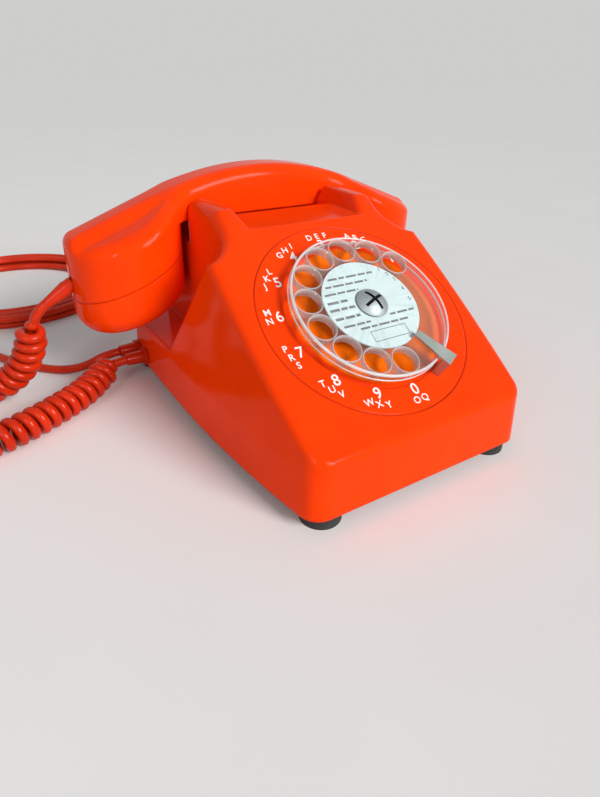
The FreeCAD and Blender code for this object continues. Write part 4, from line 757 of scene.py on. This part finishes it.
def makeWheelTrim(spec):
    mesh = bmesh.new()
    for i in range(spec["holes"]):
        spot = ringSpot(spec["holeCircle"], spec["firstHole"] + spec["pitch"] * i, spec["top"])
        sweepRing(mesh, spot, spec["sleeve"], spec["sleeveSides"])
    finishMesh("holeSleeves", mesh, "clearRim", "dial")
    mesh = bmesh.new()
    for bead in spec["beads"]:
        sweepRing(mesh, (0, 0, spec["top"]), bead, spec["beadSides"])
    finishMesh("wheelEdge", mesh, "clearEdge", "dial")


makeWheelTrim(wheelTrim)
print("wheel trim: done")


# label card: short ruled strokes, an empty box and a few plain numbers
perMetre = 1000             # millimetres
cardPrint = {
    "top": 0.00752,
    "rows": [               # left end, right end, height and thickness in mm on the card
        (-15.5, 10.4, 17.0, 1.1), (-18.8, 5.0, 13.1, 1.1), (-21.3, -2.4, 9.1, 1.1), (-22.2, -11.2, 4.5, 1.4),
        (-23.0, -9.2, 0.6, 1.4), (-22.6, -9.0, -4.3, 1.4), (-20.6, -5.7, -8.8, 1.1), (6.2, 20.8, -7.6, 1.1),
        (-13.1, 14.6, -11.6, 1.1),
    ],
    "strokes": [5.2, 3.4, 6.1, 4.3],    # lengths of the strokes, over and over
    "gap": 0.9,
    "box": (-9.4, -19.7, 10.9, -13.9),
    "boxLine": 0.35,
    "numbers": [("1", 15.0, 17.6), ("2", 18.1, 14.2), ("3", 20.4, 10.6), ("4", 21.9, 4.4), ("5", 22.0, -1.9)],
    "numberSize": 0.0030,
    "numberBold": 0.00002,
}


def cardPatch(mesh, left, low, right, high, top):
    middle = Vector(((left + right) / 2 / perMetre, (low + high) / 2 / perMetre, top))
    size = Matrix.Diagonal(((right - left) / perMetre, (high - low) / perMetre, inkThick, 1))
    bmesh.ops.create_cube(mesh, matrix=dialFrame @ Matrix.Translation(middle) @ size)


def makeCardPrint(spec):
    mesh = bmesh.new()
    top = spec["top"]
    k = 0
    for left, right, y, thick in spec["rows"]:
        x = left
        while x < right:
            end = min(x + spec["strokes"][k % len(spec["strokes"])], right)
            cardPatch(mesh, x, y - thick / 2, end, y + thick / 2, top)
            x = end + spec["gap"]
            k += 1
    left, low, right, high = spec["box"]
    line = spec["boxLine"]
    cardPatch(mesh, left, low, right, low + line, top)
    cardPatch(mesh, left, high - line, right, high, top)
    cardPatch(mesh, left, low + line, left + line, high - line, top)
    cardPatch(mesh, right - line, low + line, right, high - line, top)
    for number, x, y in spec["numbers"]:
        printText(mesh, number, spec["numberSize"], (x / perMetre, y / perMetre, top), spec["numberBold"])
    finishMesh("cardPrint", mesh, "greyInk", "dial")


makeCardPrint(cardPrint)
print("card print: done")


# floor and light
studio = {
    "floorSize": 60.0,
    "floor": (0.84, 0.83, 0.81),
    "floorDarker": 0.98,
    "floorMottle": 14,
    "floorRoughness": 0.6,
    "fill": (0.94, 0.96, 1.0),
    "fillLight": 0.28,
    "backdrop": (0.620, 0.615, 0.608),
    "sunFrom": (0.32, -0.86, 0.56),
    "sunWidth": 24,         # degrees
    "sunLight": 3.1,
    "aimAt": (0, 0, 0.05),
    "lamps": [              # name, place, width, height, power
        ("topLamp", (0.10, 0.55, 0.95), 0.7, 0.10, 0.2),
        ("leftWindow", (-0.75, -0.62, 0.50), 0.05, 0.40, 1.4),
        ("farWindow", (-0.85, -0.40, 0.50), 0.02, 0.40, 0.6),
    ],
}


def aim(name, lamp, place, target):
    holder = bpy.data.objects.new(name, lamp)
    scene.collection.objects.link(holder)
    toward = Vector(target) - Vector(place)
    holder.matrix_world = Matrix.Translation(place) @ toward.to_track_quat("-Z", "Y").to_matrix().to_4x4()


def makeStudio(spec):
    half = spec["floorSize"] / 2
    mesh = bpy.data.meshes.new("floor")
    corners = [(-half, -half, 0), (half, -half, 0), (half, half, 0), (-half, half, 0)]
    mesh.from_pydata(corners, [], [(0, 1, 2, 3)])
    floor = addPiece("floor", mesh)
    material, tree, shader = newMaterial("paleFloor")
    tone = noiseOf(tree, objectPlace(tree), spec["floorMottle"])
    pale = spec["floor"]
    darker = [c * spec["floorDarker"] for c in pale]
    tree.links.new(twoColours(tree, tone, darker, pale), shader.inputs["Base Color"])
    shader.inputs["Roughness"].default_value = spec["floorRoughness"]
    shader.inputs["Specular IOR Level"].default_value = 0
    mesh.materials.append(material)

    world = bpy.data.worlds.new("studio")
    scene.world = world
    world.use_nodes = True
    tree = world.node_tree
    fill = tree.nodes["Background"]
    fill.inputs["Color"].default_value = (*spec["fill"], 1)
    fill.inputs["Strength"].default_value = spec["fillLight"]
    backdrop = addNode(tree, "ShaderNodeBackground")
    backdrop.inputs["Color"].default_value = (*spec["backdrop"], 1)
    seen = addNode(tree, "ShaderNodeLightPath")
    pick = addNode(tree, "ShaderNodeMixShader")
    ways = seen.outputs["Is Camera Ray"]
    for other in ("Is Glossy Ray", "Is Transmission Ray"):     # mirrors and clear parts show it too
        either = addNode(tree, "ShaderNodeMath", operation="MAXIMUM")
        tree.links.new(ways, either.inputs[0])
        tree.links.new(seen.outputs[other], either.inputs[1])
        ways = either.outputs["Value"]
    tree.links.new(ways, pick.inputs[0])
    tree.links.new(fill.outputs["Background"], pick.inputs[1])
    tree.links.new(backdrop.outputs["Background"], pick.inputs[2])
    tree.links.new(pick.outputs["Shader"], tree.nodes["World Output"].inputs["Surface"])

    sun = bpy.data.lights.new("sun", "SUN")
    sun.angle = math.radians(spec["sunWidth"])
    sun.energy = spec["sunLight"]
    aim("sun", sun, spec["sunFrom"], spec["aimAt"])
    for name, place, width, height, power in spec["lamps"]:
        lamp = bpy.data.lights.new(name, "AREA")
        lamp.shape = "RECTANGLE"
        lamp.size = width
        lamp.size_y = height
        lamp.energy = power
        aim(name, lamp, place, spec["aimAt"])


makeStudio(studio)
print("studio: done")
